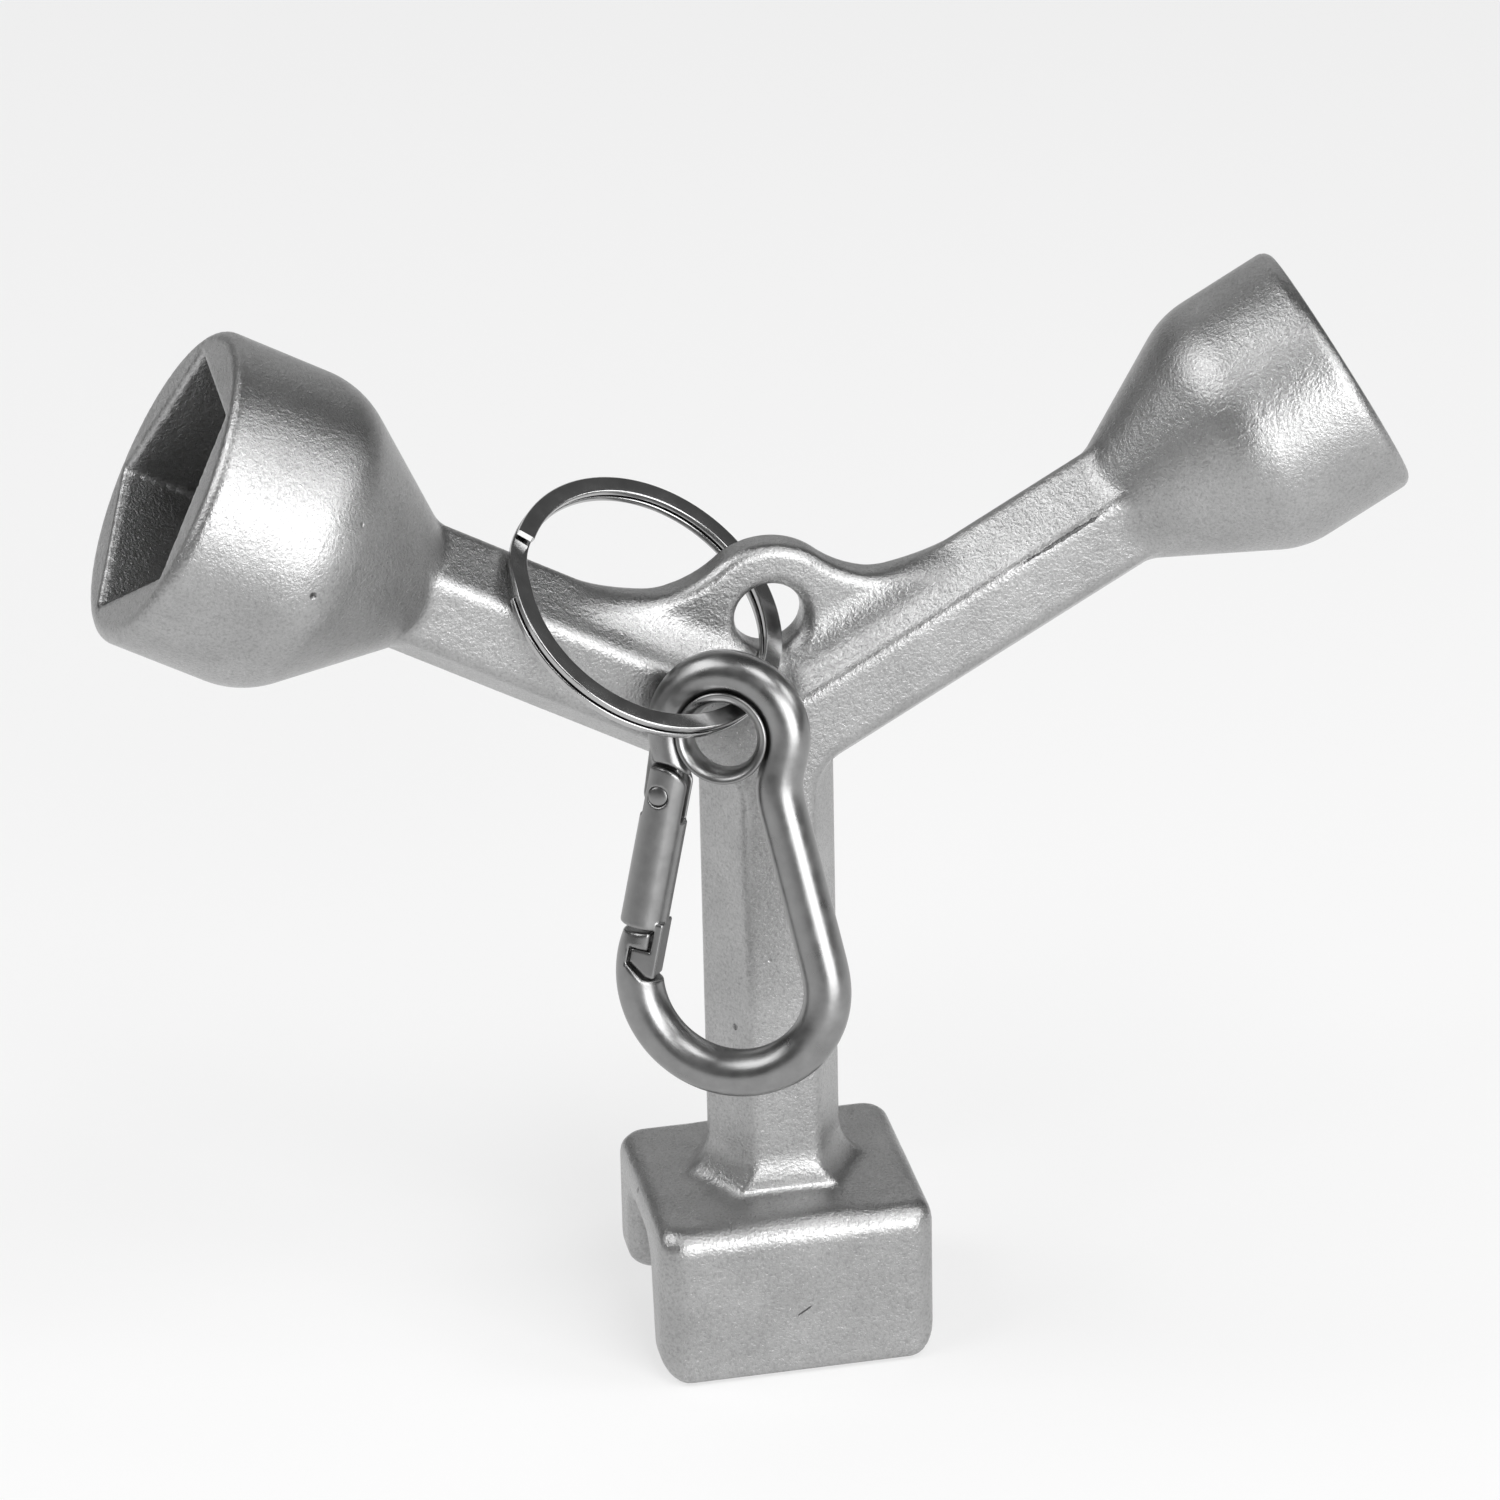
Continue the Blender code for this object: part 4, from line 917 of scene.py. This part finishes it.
def satin_finish(name, grey, low, high):
    """Tumbled stainless steel: smooth, with faint cloudy wear between two roughnesses."""
    material, shader, place = new_finish(name)
    link = material.node_tree.links.new
    cloud = noise(material, place, WEAR_SCALE, 3.0)
    greys = ((0.3, grey - WEAR_SPREAD), (0.7, grey + WEAR_SPREAD))
    link(ramp(material, cloud, greys), shader.inputs["Base Color"])
    link(ramp(material, cloud, ((0.3, low), (0.7, high))), shader.inputs["Roughness"])
    satin = noise(material, place, SATIN_SCALE, 3.0)
    link(bump(material, satin, SATIN_HEIGHT, SATIN_STRENGTH), shader.inputs["Normal"])
    return material


# Stage

def add_camera():
    """The camera at the photograph's place, its axis through the hub."""
    look = Vector((math.sin(CAMERA_AZIMUTH) * math.cos(CAMERA_ELEVATION),
                   math.cos(CAMERA_AZIMUTH) * math.cos(CAMERA_ELEVATION), -math.sin(CAMERA_ELEVATION)))
    level = Vector((math.cos(CAMERA_AZIMUTH), -math.sin(CAMERA_AZIMUTH), 0.0))
    right = math.cos(CAMERA_ROLL) * level + math.sin(CAMERA_ROLL) * level.cross(look)
    data = bpy.data.cameras.new("camera")
    data.sensor_width = SENSOR
    data.lens = FOCAL_PIXELS / FRAME_PIXELS * SENSOR
    data.shift_x = 0.5 - HUB_PIXEL[0] / FRAME_PIXELS
    data.shift_y = HUB_PIXEL[1] / FRAME_PIXELS - 0.5
    data.clip_start = CAMERA_NEAR
    camera = bpy.data.objects.new("camera", data)
    bpy.context.scene.collection.objects.link(camera)
    axes = Matrix((right, right.cross(look), -look)).transposed()
    hub = Vector((0.0, 0.0, HUB_HEIGHT))
    camera.matrix_world = Matrix.Translation(hub - CAMERA_DISTANCE * look) @ axes.to_4x4()
    bpy.context.scene.camera = camera


def add_softbox(name, place, size, power):
    """An area lamp turned to the wrench."""
    data = bpy.data.lights.new(name, "AREA")
    data.shape = "RECTANGLE"
    data.size, data.size_y = size
    data.energy = power
    lamp = bpy.data.objects.new(name, data)
    bpy.context.scene.collection.objects.link(lamp)
    lamp.location = place
    lamp.rotation_euler = (Vector(LAMP_TARGET) - Vector(place)).to_track_quat("-Z", "Y").to_euler()


def whiten(paint, shader):
    """Lifts a floor towards white for the camera and for mirrors, keeping a share of its shading."""
    nodes, link = paint.node_tree.nodes, paint.node_tree.links.new
    rays = nodes.new("ShaderNodeLightPath").outputs
    seen = rays["Is Camera Ray"]
    for kind in ("Is Glossy Ray", "Is Transmission Ray"):
        either = nodes.new("ShaderNodeMath")
        either.operation = "MAXIMUM"
        link(seen, either.inputs[0])
        link(rays[kind], either.inputs[1])
        seen = either.outputs["Value"]
    share = nodes.new("ShaderNodeMath")
    share.operation = "MULTIPLY"
    share.inputs[1].default_value = FLOOR_WHITE
    link(seen, share.inputs[0])
    glow = nodes.new("ShaderNodeEmission")
    blend = nodes.new("ShaderNodeMixShader")
    link(share.outputs["Value"], blend.inputs["Fac"])
    link(shader.outputs["BSDF"], blend.inputs[1])
    link(glow.outputs["Emission"], blend.inputs[2])
    link(blend.outputs["Shader"], nodes["Material Output"].inputs["Surface"])


def add_stage():
    """A pale floor under the wrench, soft lamps and a grey room."""
    mesh = bpy.data.meshes.new("floor")
    work = bmesh.new()
    bmesh.ops.create_grid(work, x_segments=1, y_segments=1, size=FLOOR_SIZE)
    work.to_mesh(mesh)
    work.free()
    mesh.transform(Matrix.Translation((0.0, 0.0, cad_box[0][2] - FLOOR_DROP)))
    floor = bpy.data.objects.new("floor", mesh)
    bpy.context.scene.collection.objects.link(floor)
    paint = bpy.data.materials.new("pale_floor")
    paint.use_nodes = True
    shader = paint.node_tree.nodes["Principled BSDF"]
    shader.inputs["Base Color"].default_value = (FLOOR_GREY, FLOOR_GREY, FLOOR_GREY, 1.0)
    shader.inputs["Roughness"].default_value = FLOOR_ROUGHNESS
    whiten(paint, shader)
    mesh.materials.append(paint)

    world = bpy.data.worlds.new("grey_room")
    world.use_nodes = True
    room = world.node_tree.nodes["Background"]
    room.inputs["Color"].default_value = (ROOM_GREY, ROOM_GREY, ROOM_GREY, 1.0)
    bpy.context.scene.world = world
    for name, (place, size, power) in LAMPS.items():
        add_softbox(name, place, size, power)
    bpy.context.scene.view_settings.view_transform = "Standard"


def show(name, mesh, material, body, node):
    """Puts a finished mesh in the scene in place of its CAD node."""
    mesh.materials.clear()
    mesh.materials.append(material)
    piece = bpy.data.objects.new(name, mesh)
    bpy.context.scene.collection.objects.link(piece)
    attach(piece, body)
    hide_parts(node)


def main():
    """Makes every piece, its finish and the stage."""
    add_camera()
    add_stage()
    cast_steel = cast_finish()
    ring_steel = satin_finish("rolled_ring_steel", *RING_FINISH)
    hook_steel = satin_finish("tumbled_hook_steel", *HOOK_FINISH)
    spring_steel = satin_finish("drawn_spring_steel", *SPRING_FINISH)

    low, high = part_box("wrench_body")
    casting = field_mesh("cast_wrench", casting_field, low, high, CAST_STEP)
    show("cast_wrench", casting, cast_steel, "wrench", "wrench_body")

    ring = swept_mesh("wound_ring", ring_path(), strip_tree(), ring_steel, ring_frame())
    show("wound_ring", ring, ring_steel, "ring", "split_ring")

    bend = BEND_RADIUS + WIRE_RADIUS
    hook_low = (BEND_CENTRE.x - bend, BEND_CENTRE.y - bend, -WIRE_RADIUS)
    hook_high = (BEND_CENTRE.x + bend, EYE_INNER + 2.0 * WIRE_RADIUS, WIRE_RADIUS)
    hook = field_mesh("snap_hook", hook_field, hook_low, hook_high, HOOK_STEP, hook_frame())
    show("snap_hook", hook, hook_steel, "hook", "hook_body")

    eyelet = turned_mesh("rolled_eyelet", eyelet_profile(), hook_frame(), EYELET_STEPS)
    show("rolled_eyelet", eyelet, hook_steel, "eyelet_sleeve", "eyelet")

    gate_low = (-CHEEK_RADIUS, -GATE_REACH - LATCH_DROP, -GATE_RADIUS)
    gate_high = (GATE_OFFSET + GATE_RADIUS, CHEEK_RADIUS, GATE_RADIUS)
    gate = field_mesh("hook_gate", gate_field, gate_low, gate_high, GATE_STEP, gate_frame())
    show("hook_gate", gate, hook_steel, "gate_arm", "gate")

    rivet = turned_mesh("gate_rivet", rivet_profile(), gate_frame(), PIN_STEPS)
    show("gate_rivet", rivet, hook_steel, "gate_arm", "hinge_rivet")

    plunger_foot = plunger_top() - PLUNGER_LENGTH
    plunger = turned_mesh("plunger_pin", plunger_profile(), along_gate(plunger_foot), PIN_STEPS)
    show("plunger_pin", plunger, spring_steel, "plunger", "gate_plunger")

    spring_foot = -GATE_BORE_DEPTH + CLEARANCE + SPRING_WIRE
    height = plunger_foot - CLEARANCE - SPRING_WIRE - spring_foot
    tree = coil_tree(SPRING_TURNS, GATE_BORE - CLEARANCE - SPRING_WIRE, height)
    start = bpy.data.meshes.new("coil_start")
    spring = swept_mesh("coil_spring", start, tree, spring_steel, along_gate(spring_foot))
    show("coil_spring", spring, spring_steel, "gate_arm", "gate_spring")


main()
